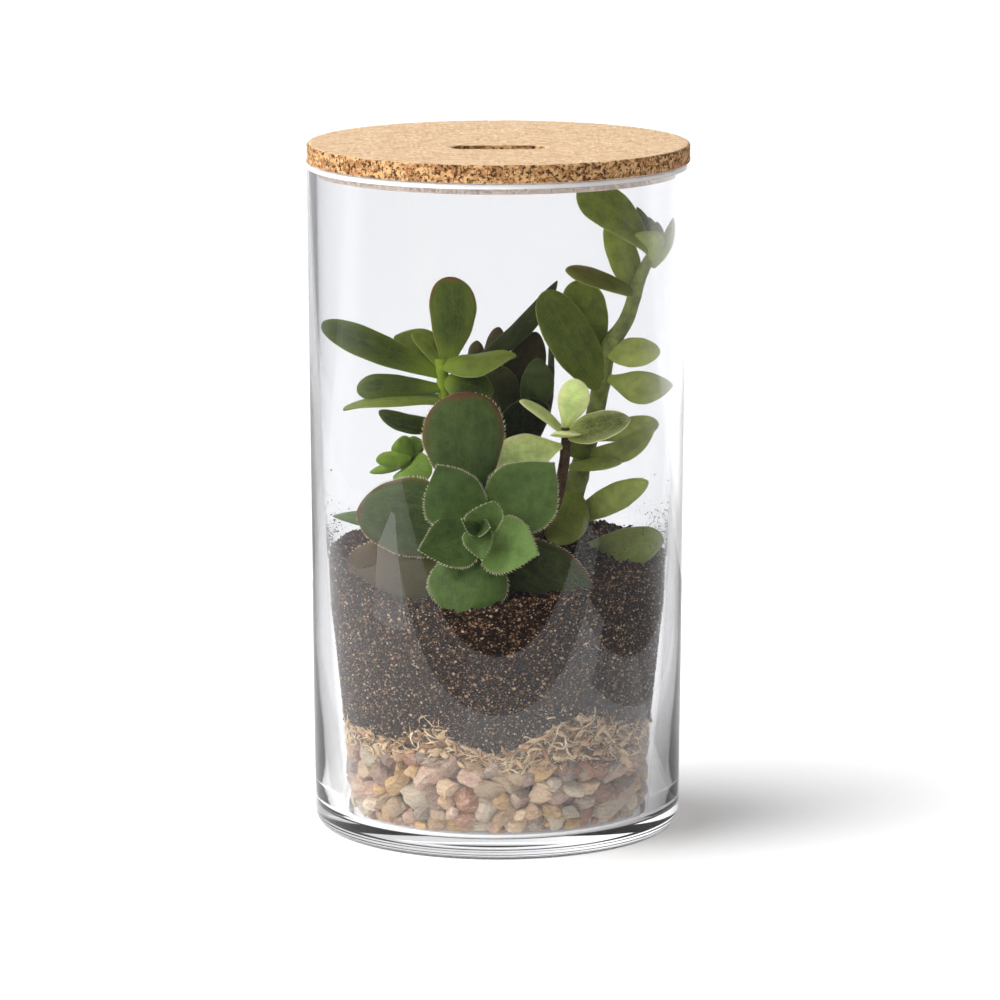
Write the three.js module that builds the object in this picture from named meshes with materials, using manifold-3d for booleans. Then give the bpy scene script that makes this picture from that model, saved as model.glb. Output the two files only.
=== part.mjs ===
// A planted glass jar: a tall heavy-bottomed glass cylinder, closed by a cork lid with a finger
// slot, filled in layers with gravel, plant fibre and potting soil, and planted with succulents.
// Millimetres, +Z up. The jar stands on z = 0 with its axis on Z, and -Y is the front.

import * as THREE from 'three';
import { mergeVertices } from 'three/addons/utils/BufferGeometryUtils.js';
import Module from 'manifold-3d';

const wasm = await Module();
wasm.setup();

// Driving sizes
const clearance = 0.3; // between neighbouring pieces
const sectors = 48; // flats around the jar
const layerSectors = 36; // flats around what fills it
const rimRadius = 50; // outside of the glass at its rim
const footRadius = 48.56; // outside of the glass just above the heel
const rimHeight = 177.7;
const rimInnerRadius = 47.6;
const heelRadius = 4.5;
const footFlatInner = 41.5; // the foot stands on a flat ring from here out to the heel
const punt = 1.6; // how far the underside is hollowed
const floorHeight = 5; // top of the glass base
const floorFillet = 3;

// The inner wall, radius by height: thin above the planting, thicker towards the base
const innerWall = [
  [40.3, floorHeight + floorFillet + 1],
  [42.4, 36],
  [44.2, 60],
  [46.6, 87],
  [47.4, 110],
  [rimInnerRadius, rimHeight - 1.2],
];

const lidRadius = 50.45;
const lidThickness = 4.8;
const lidUnderside = rimHeight + 0.2;
const lidEdge = 0.4; // softened edge of the cork disc
const plugRadius = 46.9;
const plugDepth = 2.5;
const lidArcs = 24; // flats round half of the lid
const slotLength = 25;
const slotWidth = 8.5;
const slotForward = 11.8; // from the lid's centre towards the front

const soilCrown = 76; // top of the soil in the middle

// Top of the soil along the glass, height by degrees from the front: low where the rosette's
// lower leaves lie on it, high at the sides and behind
const soilRim = [
  [74, -180],
  [75, -75],
  [74, -60],
  [66.2, -42],
  [65.4, -12],
  [67.8, 4],
  [68.8, 22],
  [71, 48],
  [75, 70],
  [74, 180],
];
const leafEdge = 0.7; // thickness of a leaf at its margin

// Helpers

function mulberry(seed) {
  let state = seed;
  return () => {
    state = (state + 0x6d2b79f5) | 0;
    let t = Math.imul(state ^ (state >>> 15), 1 | state);
    t = (t + Math.imul(t ^ (t >>> 7), 61 | t)) ^ t;
    return ((t ^ (t >>> 14)) >>> 0) / 4294967296;
  };
}

function between(random, low, high) {
  return low + (high - low) * random();
}

function smoothstep(low, high, value) {
  return THREE.MathUtils.smoothstep(value, low, high);
}

function indexed(positions, triangles) {
  const geometry = new THREE.BufferGeometry();
  geometry.setAttribute('position', new THREE.Float32BufferAttribute(positions, 3));
  geometry.setIndex(triangles);
  return geometry;
}

function toSolid(geometry) {
  const bare = geometry.clone();
  bare.deleteAttribute('normal');
  bare.deleteAttribute('uv');
  const merged = mergeVertices(bare, 1e-4);
  return new wasm.Manifold(
    new wasm.Mesh({
      numProp: 3,
      vertProperties: new Float32Array(merged.attributes.position.array),
      triVerts: new Uint32Array(merged.index.array),
    }),
  );
}

function toGeometry(solid) {
  const mesh = solid.getMesh();
  const geometry = indexed(Array.from(mesh.vertProperties), Array.from(mesh.triVerts));
  geometry.computeVertexNormals();
  return geometry;
}

function join(solids) {
  return solids.reduce((sum, solid) => sum.add(solid));
}

// Loose scraps that a cut leaves are dropped: only the largest body stays
function largestBody(solid) {
  return solid.decompose().reduce((best, body) => (body.volume() > best.volume() ? body : best));
}

function named(name, geometry, color, roughness, extra = {}) {
  const material = new THREE.MeshStandardMaterial({ color, roughness, metalness: 0, ...extra });
  const mesh = new THREE.Mesh(geometry, material);
  mesh.name = name;
  return mesh;
}

// The value at a place on a table of [value, place], straight between its entries
function readTable(table, place) {
  const above = table.findIndex((entry) => place <= entry[1]);
  if (above <= 0) {
    return above === 0 ? table[0][0] : table[table.length - 1][0];
  }
  const [v0, p0] = table[above - 1];
  const [v1, p1] = table[above];
  return v0 + ((v1 - v0) * (place - p0)) / (p1 - p0);
}

// Radius of the inner wall at a height
function innerRadius(height) {
  return readTable(innerWall, height);
}

function arc(centreR, centreZ, radius, from, to, steps) {
  const points = [];
  for (let i = 0; i <= steps; i += 1) {
    const angle = THREE.MathUtils.degToRad(from + ((to - from) * i) / steps);
    points.push([centreR + radius * Math.cos(angle), centreZ + radius * Math.sin(angle)]);
  }
  return points;
}

// Glass jar: one turned wall from the hollow of its underside round the rim to its floor
function glassJar() {
  const wall = (rimRadius - rimInnerRadius) / 2;
  const inside = innerWall.slice(0, -1).reverse();
  const profile = [
    [0, punt],
    [32, punt * 0.7],
    [footFlatInner, 0],
    ...arc(footRadius - heelRadius, heelRadius, heelRadius, -90, 0, 4),
    ...arc(rimRadius - wall, rimHeight - wall, wall, 0, 180, 4),
    ...inside,
    ...arc(innerWall[0][0] - floorFillet, floorHeight + floorFillet, floorFillet, 0, -90, 3),
    [0, floorHeight],
  ];
  const points = profile.map(([r, z]) => new THREE.Vector2(r, z));
  return new THREE.LatheGeometry(points, sectors).rotateX(Math.PI / 2);
}

// Cork lid: a disc that rests on the rim, a shallow plug inside it and a finger slot through both
function corkLid() {
  const disc = new THREE.Shape().absarc(0, 0, lidRadius, 0, Math.PI * 2);
  const plug = new THREE.Shape().absarc(0, 0, plugRadius, 0, Math.PI * 2);
  const half = slotLength / 2 - slotWidth / 2;
  const slot = new THREE.Shape()
    .moveTo(-half, -slotForward - slotWidth / 2)
    .lineTo(half, -slotForward - slotWidth / 2)
    .absarc(half, -slotForward, slotWidth / 2, -Math.PI / 2, Math.PI / 2)
    .lineTo(-half, -slotForward + slotWidth / 2)
    .absarc(-half, -slotForward, slotWidth / 2, Math.PI / 2, (Math.PI * 3) / 2);
  const board = new THREE.ExtrudeGeometry(disc, {
    depth: lidThickness - 2 * lidEdge,
    bevelThickness: lidEdge,
    bevelSize: lidEdge,
    bevelOffset: -lidEdge,
    bevelSegments: 1,
    curveSegments: lidArcs,
  }).translate(0, 0, lidUnderside + lidEdge);
  const stopper = new THREE.ExtrudeGeometry(plug, {
    depth: plugDepth + 1,
    bevelEnabled: false,
    curveSegments: lidArcs,
  }).translate(0, 0, lidUnderside - plugDepth);
  const cutter = new THREE.ExtrudeGeometry(slot, {
    depth: lidThickness + plugDepth + 4,
    bevelEnabled: false,
    curveSegments: 6,
  }).translate(0, 0, lidUnderside - plugDepth - 2);
  return toGeometry(toSolid(board).add(toSolid(stopper)).subtract(toSolid(cutter)));
}

// A round body whose rings may rise and fall: each ring gives [radius, height] at an angle
function ringBody(bottom, rings, top) {
  const positions = [0, 0, bottom];
  const triangles = [];
  for (const ring of rings) {
    for (let j = 0; j < layerSectors; j += 1) {
      const angle = (j / layerSectors) * Math.PI * 2;
      const [r, z] = ring(angle);
      positions.push(r * Math.cos(angle), r * Math.sin(angle), z);
    }
  }
  const last = rings.length * layerSectors + 1;
  positions.push(0, 0, top);
  for (let j = 0; j < layerSectors; j += 1) {
    const next = (j + 1) % layerSectors;
    triangles.push(0, 1 + next, 1 + j);
    for (let k = 0; k < rings.length - 1; k += 1) {
      const a = 1 + k * layerSectors + j;
      const b = 1 + k * layerSectors + next;
      triangles.push(a, b, b + layerSectors, a, b + layerSectors, a + layerSectors);
    }
    triangles.push(last, last - layerSectors + j, last - layerSectors + next);
  }
  return indexed(positions, triangles);
}

// Where the layers meet against the glass, by angle from +X. The front is at -90 degrees.
function gravelTop(angle) {
  return 24.6 + 2.2 * Math.exp(-(((frontTurn(angle) - 4) / 22) ** 2)) + 0.7 * Math.sin(5 * angle);
}

function fibreTop(angle) {
  const turn = frontTurn(angle);
  const sag = 5 * Math.exp(-(((turn + 14) / 32) ** 2));
  return 36 - sag + 0.8 * Math.sin(4 * angle + 1) + 0.6 * Math.sin(9 * angle);
}

// Degrees from the front, positive towards +X
function frontTurn(angle) {
  const degrees = THREE.MathUtils.radToDeg(angle) + 90;
  return THREE.MathUtils.euclideanModulo(degrees + 180, 360) - 180;
}

// Gravel: a drum of stones against the glass, round a plain middle
function gravelBed() {
  const random = mulberry(7);
  const coreRadius = 37.6;
  const stones = [];
  const rows = [
    { height: 9.6, count: 18, tall: 3.8 },
    { height: 15.4, count: 18, tall: 3.7 },
    { height: 21, count: 18, tall: 3.7 },
  ];
  for (const [index, row] of rows.entries()) {
    for (let i = 0; i < row.count; i += 1) {
      const angle = ((i + 0.5 * index + between(random, -0.16, 0.16)) / row.count) * Math.PI * 2;
      const deep = between(random, 3.4, 4.2);
      const wide = between(random, 5.6, 6.8);
      const tall = row.tall * between(random, 0.86, 1.1);
      const height = Math.min(row.height + between(random, -0.7, 0.7),
        gravelTop(angle) - tall - clearance);
      const stone = new THREE.IcosahedronGeometry(1, 0);
      stone.rotateX(random() * Math.PI).rotateY(random() * Math.PI).rotateZ(random() * Math.PI);
      stone.scale(deep, wide, tall);
      const wall = innerRadius(height - tall) * Math.cos(Math.PI / sectors) - clearance;
      const lowered = height - tall < floorHeight + floorFillet ? 1.2 : 0;
      stone.translate(wall - deep - lowered, 0, Math.max(height, floorHeight + tall + clearance));
      stone.rotateZ(angle);
      stones.push(toSolid(stone));
    }
  }
  const core = ringBody(floorHeight + clearance, [
    () => [coreRadius - 2, floorHeight + clearance],
    () => [coreRadius, floorHeight + 2],
    (angle) => [coreRadius, gravelTop(angle) - 2.2],
    (angle) => [coreRadius - 6, gravelTop(angle) - clearance],
  ], 24.6 - clearance);
  return toGeometry(join([toSolid(core), ...stones]));
}

// A tapered round rod through points, with a radius at each
function rod(points, radii, sides, steps, grow = 0) {
  const curve = new THREE.CatmullRomCurve3(points.map((p) => new THREE.Vector3(...p)));
  const positions = [];
  const triangles = [];
  const frames = curve.computeFrenetFrames(steps, false);
  for (let i = 0; i <= steps; i += 1) {
    const along = i / steps;
    const at = curve.getPointAt(along);
    if (i === 0 || i === steps) {
      at.addScaledVector(frames.tangents[i], i === 0 ? -grow : grow);
    }
    const slot = along * (radii.length - 1);
    const low = Math.min(Math.floor(slot), radii.length - 2);
    const radius = radii[low] + (radii[low + 1] - radii[low]) * (slot - low) + grow;
    for (let j = 0; j < sides; j += 1) {
      const turn = (j / sides) * Math.PI * 2;
      const p = at.clone()
        .addScaledVector(frames.normals[i], radius * Math.cos(turn))
        .addScaledVector(frames.binormals[i], radius * Math.sin(turn));
      positions.push(p.x, p.y, p.z);
    }
  }
  const start = positions.length / 3;
  const first = curve.getPointAt(0).addScaledVector(frames.tangents[0], -grow);
  const end = curve.getPointAt(1).addScaledVector(frames.tangents[steps], grow);
  positions.push(first.x, first.y, first.z, end.x, end.y, end.z);
  for (let j = 0; j < sides; j += 1) {
    const next = (j + 1) % sides;
    triangles.push(start, next, j);
    triangles.push(start + 1, steps * sides + j, steps * sides + next);
    for (let i = 0; i < steps; i += 1) {
      const a = i * sides + j;
      const b = i * sides + next;
      triangles.push(a, b, b + sides, a, b + sides, a + sides);
    }
  }
  return indexed(positions, triangles);
}

// Fibre: a thin matted pad with loose strands along the glass
function fibreLayer() {
  const random = mulberry(21);
  const ruffle = (angle, phase) => 0.45 * (1 + Math.sin(17 * angle + phase));
  const wallAt = (z) => innerRadius(z) - clearance;
  const pad = ringBody(24.6 + clearance, [
    (angle) => [30, gravelTop(angle) + clearance],
    (angle) => [wallAt(24) - 1.4 - ruffle(angle, 0), gravelTop(angle) + clearance + 0.3],
    (angle) => [wallAt(28) - 0.6 - ruffle(angle, 2), 0.55 * gravelTop(angle) + 0.45 * fibreTop(angle)],
    (angle) => [wallAt(33) - 1.3 - ruffle(angle, 4), fibreTop(angle) - clearance - 0.8],
    (angle) => [30, fibreTop(angle) - clearance],
  ], 35);
  const strands = [];
  const strandCount = 26;
  for (let i = 0; i < strandCount; i += 1) {
    const angle = ((i + between(random, -0.3, 0.3)) / strandCount) * Math.PI * 2;
    const low = gravelTop(angle) + 1.6;
    const high = fibreTop(angle) - 1.4;
    const z = between(random, low, high - 1);
    const reach = between(random, 5, 9);
    const rise = between(random, -2.2, 2.2);
    const points = [];
    for (let k = 0; k < 3; k += 1) {
      const turn = angle + ((k - 1) * reach) / 2 / 41;
      const r = wallAt(z - 2) - 0.85 - (k === 1 ? 0 : 1.1);
      const height = THREE.MathUtils.clamp(z + (k - 1) * rise * 0.5, low - 0.6, high);
      points.push([r * Math.cos(turn), r * Math.sin(turn), height]);
    }
    strands.push(toSolid(rod(points, [0.5, 0.75, 0.45], 3, 2)));
  }
  return toGeometry(join([toSolid(pad), ...strands]));
}

// Height of the soil: nearly level in the middle, sloping to its height along the glass
function soilHeight(x, y) {
  const rim = readTable(soilRim, frontTurn(Math.atan2(y, x)));
  const out = smoothstep(18, 38, Math.hypot(x, y));
  const lumps = 0.5 * Math.sin(0.42 * x + 1) * Math.cos(0.37 * y) + 0.3 * Math.sin(0.9 * x - 0.8 * y);
  return soilCrown + (rim - soilCrown) * out + lumps * (1 - 0.5 * out);
}

// Soil: fills the jar from the fibre up, before the plants' holes are cut
function soilBlock() {
  const edge = (z) => innerRadius(z) - clearance;
  const crumble = (angle, k) => 0.25 * (1 + Math.sin(13 * angle + 2.1 * k));
  const topRing = (radius) => (angle) => {
    const x = radius * Math.cos(angle);
    const y = radius * Math.sin(angle);
    return [radius, soilHeight(x, y)];
  };
  const wallRing = (share, k) => (angle) => {
    const high = soilHeight(45 * Math.cos(angle), 45 * Math.sin(angle)) - 0.6;
    const z = fibreTop(angle) + (high - fibreTop(angle)) * share;
    return [edge(z) - crumble(angle, k), z];
  };
  return ringBody(35.2 + clearance, [
    (angle) => [30, fibreTop(angle)],
    wallRing(0, 0),
    wallRing(0.35, 1),
    wallRing(0.7, 2),
    wallRing(1, 3),
    topRing(43),
    topRing(34),
    topRing(24),
    topRing(12),
  ], soilHeight(0, 0));
}

// Leaf outlines: where the blade is widest, how wide its foot is, how quickly it swells, and
// how blunt its end is (0.5 is a half circle, 1 comes to a point). A leaf may differ from its kind.
const outlines = {
  petal: { widest: 0.42, foot: 0.42, swell: 0.75, end: 1.15 },
  spoon: { widest: 0.68, foot: 0.2, swell: 1.25, end: 0.5 },
  club: { widest: 0.8, foot: 0.36, swell: 1.6, end: 0.5 },
  round: { widest: 0.55, foot: 0.36, swell: 0.8, end: 0.6 },
  oval: { widest: 0.52, foot: 0.28, swell: 0.75, end: 0.6 },
  lance: { widest: 0.5, foot: 0.4, swell: 0.8, end: 0.75 },
  strap: { widest: 0.62, foot: 0.36, swell: 1.2, end: 0.5 },
};

function outlineWidth(leaf, along) {
  const { widest, foot, swell, end } = { ...outlines[leaf.kind], ...leaf };
  if (along < widest) {
    return foot + (1 - foot) * Math.sin((Math.PI / 2) * (along / widest)) ** swell;
  }
  const past = (along - widest) / (1 - widest);
  return (1 - past * past) ** end;
}

// A leaf: a closed blade on a bowed midline. face is the way its upper side looks, bow lifts the
// midline that way, sweep bends it sideways, cup raises the margins, skew widens one side, and
// wave ruffles it. Both faces are split into the same triangles.
function leafBlade(leaf, grow = 0) {
  const rows = leaf.width > 7.5 ? 7 : 5;
  const columns = leaf.width > 10.5 ? 4 : 2;
  const base = new THREE.Vector3(...leaf.base);
  const axis = new THREE.Vector3(...leaf.tip).sub(base);
  const length = axis.length();
  axis.normalize();
  base.addScaledVector(axis, -grow);
  const face = new THREE.Vector3(...leaf.face);
  face.addScaledVector(axis, -face.dot(axis)).normalize();
  const side = new THREE.Vector3().crossVectors(face, axis);
  const { bow = 0, sweep = 0, cup = 0, skew = 0, wave = 0, thick = 1.8 } = leaf;
  const upper = [];
  const lower = [];
  for (let i = 0; i <= rows; i += 1) {
    const along = Math.sin((Math.PI / 2) * (i / rows));
    const half = Math.max((outlineWidth(leaf, along) * leaf.width) / 2, 0.3) + grow;
    const arch = 4 * along * (1 - along);
    const body = Math.max(outlineWidth(leaf, along), 0.35);
    for (let j = 0; j <= columns; j += 1) {
      const v = -1 + (2 * j) / columns;
      const across = v * half * (1 + skew * v * 0.9) + sweep * arch;
      const lift = bow * arch + cup * half * v * v + wave * Math.sin(7 * along + 1) * v * v;
      const thickness = leafEdge + (thick - leafEdge) * (1 - v * v) * body + 2 * grow;
      for (const [list, sign] of [[upper, 0.5], [lower, -0.5]]) {
        const p = base.clone()
          .addScaledVector(axis, along * (length + 2 * grow))
          .addScaledVector(side, across)
          .addScaledVector(face, lift + sign * thickness);
        list.push(p);
      }
    }
  }
  const positions = [...upper, ...lower].flatMap((p) => [p.x, p.y, p.z]);
  const triangles = [];
  const under = upper.length;
  const at = (i, j) => i * (columns + 1) + j;
  const quad = (a, b, c, d) => triangles.push(a, b, c, a, c, d);
  for (let i = 0; i < rows; i += 1) {
    for (let j = 0; j < columns; j += 1) {
      const [a, b, c, d] = [at(i, j), at(i + 1, j), at(i + 1, j + 1), at(i, j + 1)];
      quad(a, b, c, d);
      triangles.push(under + a, under + c, under + b, under + a, under + d, under + c);
    }
    quad(at(i, 0), under + at(i, 0), under + at(i + 1, 0), at(i + 1, 0));
    quad(at(i, columns), at(i + 1, columns), under + at(i + 1, columns), under + at(i, columns));
  }
  for (let j = 0; j < columns; j += 1) {
    quad(at(0, j), at(0, j + 1), under + at(0, j + 1), under + at(0, j));
    quad(at(rows, j + 1), at(rows, j), under + at(rows, j), under + at(rows, j + 1));
  }
  return indexed(positions, triangles);
}

function plantSolid(plant, grow = 0) {
  const stems = plant.stems.map((stem) =>
    toSolid(rod(stem.points, stem.radii, 6, stem.points.length + 1, grow)));
  const leaves = plant.leaves.map((leaf) => toSolid(leafBlade(leaf, grow)));
  return join([...stems, ...leaves]);
}

// The rosette that leans on the front glass: pointed inner leaves round a tight bud, with broad
// round leaves above, below and to both sides
const rosette = {
  stems: [
    {
      points: [[-4.5, -34.5, 85.8], [-5, -29, 83], [-5, -22, 74], [-4.5, -17, 63], [-4, -15, 54]],
      radii: [1.6, 3.4, 3.2, 3, 2.6],
    },
  ],
  leaves: [
    { kind: 'petal', base: [-3.5, -31, 86.5], tip: [-15.3, -36, 103.1], width: 16, face: [0, -1, 0.2],
      widest: 0.5, foot: 0.2, bow: -1.4, cup: 0.12, skew: 0.15, sweep: 1.4 },
    { kind: 'petal', base: [0, -31, 86.5], tip: [14.7, -34, 103.3], width: 19, face: [0, -1, 0.2],
      foot: 0.5, bow: -1.4, cup: 0.1 },
    { kind: 'petal', base: [-5, -32, 85.3], tip: [-20, -39.5, 81.4], width: 14.7,
      face: [-0.2, -1, 0.3], widest: 0.35, foot: 0.55, bow: -1.2, cup: 0.15, sweep: 1.2 },
    { kind: 'petal', base: [-3, -32, 84.6], tip: [10.6, -40, 80.2], width: 15.5,
      face: [0.2, -1, 0.3], widest: 0.4, foot: 0.55, bow: -1.2, cup: 0.15, sweep: -1.4 },
    { kind: 'round', base: [-5, -31, 82], tip: [-8.3, -42.4, 64.1], width: 20.4,
      face: [-0.12, -0.95, 0.45], foot: 0.2, swell: 1.1, bow: 0.8, cup: -0.2, sweep: -0.7 },
    { kind: 'round', base: [-3.5, -27.5, 80], tip: [24.4, -33.5, 66.8], width: 17.5,
      face: [0.1, -0.95, 0.35], bow: 1, cup: -0.06, sweep: -0.4 },
    { kind: 'petal', base: [-3.5, -33, 84.5], tip: [-0.8, -40, 94.3], width: 9.5, face: [0.1, -0.8, -0.5],
      widest: 0.6, end: 0.9, cup: 0.35, sweep: 1.8, thick: 1.4 },
    { kind: 'petal', base: [-4.5, -34, 86.3], tip: [-3.8, -41, 78.9], width: 7.6, face: [0, -0.7, 0.7],
      cup: 0.35, sweep: -0.8, thick: 1.4 },
    { kind: 'petal', base: [-4, -34, 85.5], tip: [-9.1, -39.5, 89.4], width: 5.2, face: [0.5, -0.8, 0],
      cup: 0.35, thick: 1.3 },
    { kind: 'petal', base: [-4, -35, 85.6], tip: [-1.8, -41.6, 87.6], width: 4.6, face: [-0.6, -0.5, 0.4],
      cup: 0.3, thick: 1.3 },
    { kind: 'spoon', base: [-5.2, -27.5, 82], tip: [-8.9, -25, 120.3], width: 21.4, face: [0, -1, 0.1],
      widest: 0.72, swell: 2.6, bow: 1.2, cup: -0.06, sweep: 1, thick: 2.4 },
    { kind: 'round', base: [-5.5, -28, 83.5], tip: [-37.5, -23, 88.4], width: 20.4, face: [-0.3, -1, 0.1],
      end: 0.55, foot: 0.45, bow: 1, cup: -0.04, sweep: -1.2, thick: 2.2 },
    { kind: 'round', base: [-7.5, -27, 77], tip: [-37.8, -23.2, 74.7], width: 16.4,
      face: [-0.3, -0.9, 0.3], end: 0.45, bow: 0.3, sweep: 2.7, thick: 2 },
    { kind: 'lance', base: [-5.5, -23, 76], tip: [-42.1, -15.5, 85.8], width: 6.6, face: [-0.2, -0.9, 0.4],
      sweep: -2.4 },
  ],
};

// The plant behind on the left: spoon leaves in a loose whorl on a yellow-green stem
const spoonLeafPlant = {
  stems: [
    {
      points: [[-14.8, -5, 126], [-14, -5, 117.5], [-12.5, -4, 104], [-11, -3, 84], [-10, -3, 55]],
      radii: [1.5, 1.7, 1.9, 2.1, 2.1],
    },
  ],
  leaves: [
    { kind: 'strap', base: [-14.8, -5, 121.8], tip: [-46.2, -4.5, 135.2], width: 8.8,
      face: [0, -0.85, 0.5], sweep: 0.3, bow: 0.8 },
    { kind: 'spoon', base: [-13.5, -5.5, 123.5], tip: [-12, -4, 147.7], width: 12.6,
      face: [0, -1, 0.1], bow: -0.6, cup: 0.08, sweep: -1, thick: 2 },
    { kind: 'oval', base: [-15.2, -3.8, 123.8], tip: [-27.2, 1.5, 130.9], width: 8.2,
      face: [0.3, -0.9, 0.4], sweep: -3 },
    { kind: 'oval', base: [-15, -4.5, 124], tip: [-22.4, -3, 132.5], width: 4.8, face: [0.3, -0.9, 0.3],
      sweep: -1.2, thick: 1.4 },
    { kind: 'club', base: [-14, -5.5, 118], tip: [-36.8, -8, 118.2], width: 7.4,
      face: [0, -0.85, 0.5], sweep: -0.6, bow: 0.8 },
    { kind: 'lance', base: [-14, -5.5, 114.5], tip: [-40.1, -11.5, 113.2], width: 8,
      face: [0, -0.3, 0.95], widest: 0.35, foot: 0.7, bow: 2, wave: 0.5 },
    { kind: 'oval', base: [-13.5, -5, 108.3], tip: [-31.2, -6.5, 111.9], width: 6.4,
      face: [0, -0.85, -0.4], widest: 0.62, foot: 0.5, sweep: 1.8, bow: 0.6 },
    { kind: 'lance', base: [-14, -6, 124], tip: [5.1, -13, 128], width: 9.6, foot: 0.25,
      face: [0, -0.6, 0.8], end: 0.95, sweep: -2, bow: 1.2, wave: 0.7 },
    { kind: 'oval', base: [-13.5, -6, 120.5], tip: [-1.1, -11.5, 117.3], width: 9.4,
      face: [0.2, -0.9, 0.4], bow: 0.5 },
  ],
};

// The dark plant in the middle at the back
const darkLeafPlant = {
  stems: [
    {
      points: [[-6, 6, 123], [0, 5, 113.5], [4, 4, 101], [5, 4, 84], [5, 3, 55]],
      radii: [1.3, 1.7, 2, 2.2, 2.2],
    },
    {
      points: [[9, 0, 112.5], [7.5, 2, 105], [4.5, 4, 97]],
      radii: [1, 1.3, 1.5],
    },
    {
      points: [[14.5, 7, 127], [13.2, 5.5, 110], [5.3, 4, 94]],
      radii: [0.8, 1.1, 1.4],
    },
  ],
  leaves: [
    { kind: 'lance', base: [-6.2, 5.8, 122.9], tip: [16.1, 8.5, 144.9], width: 5.4, face: [0, -0.95, 0.3],
      bow: 0.6, sweep: -2.4 },
    { kind: 'oval', base: [-4.5, 6.5, 120], tip: [0.6, 13, 131.7], width: 5.2, face: [0, -0.8, 0.5],
      widest: 0.66, sweep: -0.8 },
    { kind: 'oval', base: [-6, 6.5, 121], tip: [-5.4, 12, 128.2], width: 4.4, face: [0, -0.7, 0.6],
      widest: 0.6 },
    { kind: 'oval', base: [-1, 4.5, 111.5], tip: [10.8, 8, 131.1], width: 11,
      face: [0.1, -0.9, 0.4], bow: -0.8, cup: 0.1, sweep: -1.8 },
    { kind: 'spoon', base: [2, 4, 107], tip: [-0.3, -1.5, 123.8], width: 9, face: [-0.2, -0.8, 0.6],
      sweep: -1 },
    { kind: 'oval', base: [8.5, 0, 111], tip: [10.8, -3, 125.9], width: 8.8,
      face: [0.1, -1, 0.1], end: 0.7, cup: 0.06, sweep: -0.9 },
    { kind: 'round', base: [8, 1, 103.5], tip: [6, -6.5, 115.1], width: 14.6, face: [0, -0.8, 0.6],
      foot: 0.5, cup: 0.05 },
  ],
};

// The small bright sprig on the left
const greenSprig = {
  stems: [
    {
      points: [[-22.5, -17.3, 102], [-22, -16, 96], [-20, -14, 85], [-18, -12, 70], [-17, -11, 57]],
      radii: [0.9, 1, 1.2, 1.3, 1.3],
    },
  ],
  leaves: [
    { kind: 'oval', base: [-22.5, -17, 101], tip: [-24.6, -17, 107.2], width: 5.8, face: [0.2, -1, 0.2],
      widest: 0.6, sweep: 1.2 },
    { kind: 'oval', base: [-22.3, -16.5, 100.8], tip: [-21.6, -14, 106.6], width: 4.6,
      face: [0.2, -1, 0.3], widest: 0.7, sweep: -0.8 },
    { kind: 'oval', base: [-22.5, -18, 101.3], tip: [-31.2, -21.5, 101.6], width: 5.2,
      face: [0, -0.8, 0.6] },
    { kind: 'lance', base: [-22.5, -16.6, 100.4], tip: [-33.1, -16, 97.3], width: 3.2,
      face: [0, -0.8, 0.6] },
    { kind: 'oval', base: [-22, -17, 101], tip: [-25.9, -22.2, 96.6], width: 8.2,
      face: [-0.2, -0.6, 0.8], foot: 0.5, sweep: 2.6 },
  ],
};

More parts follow.
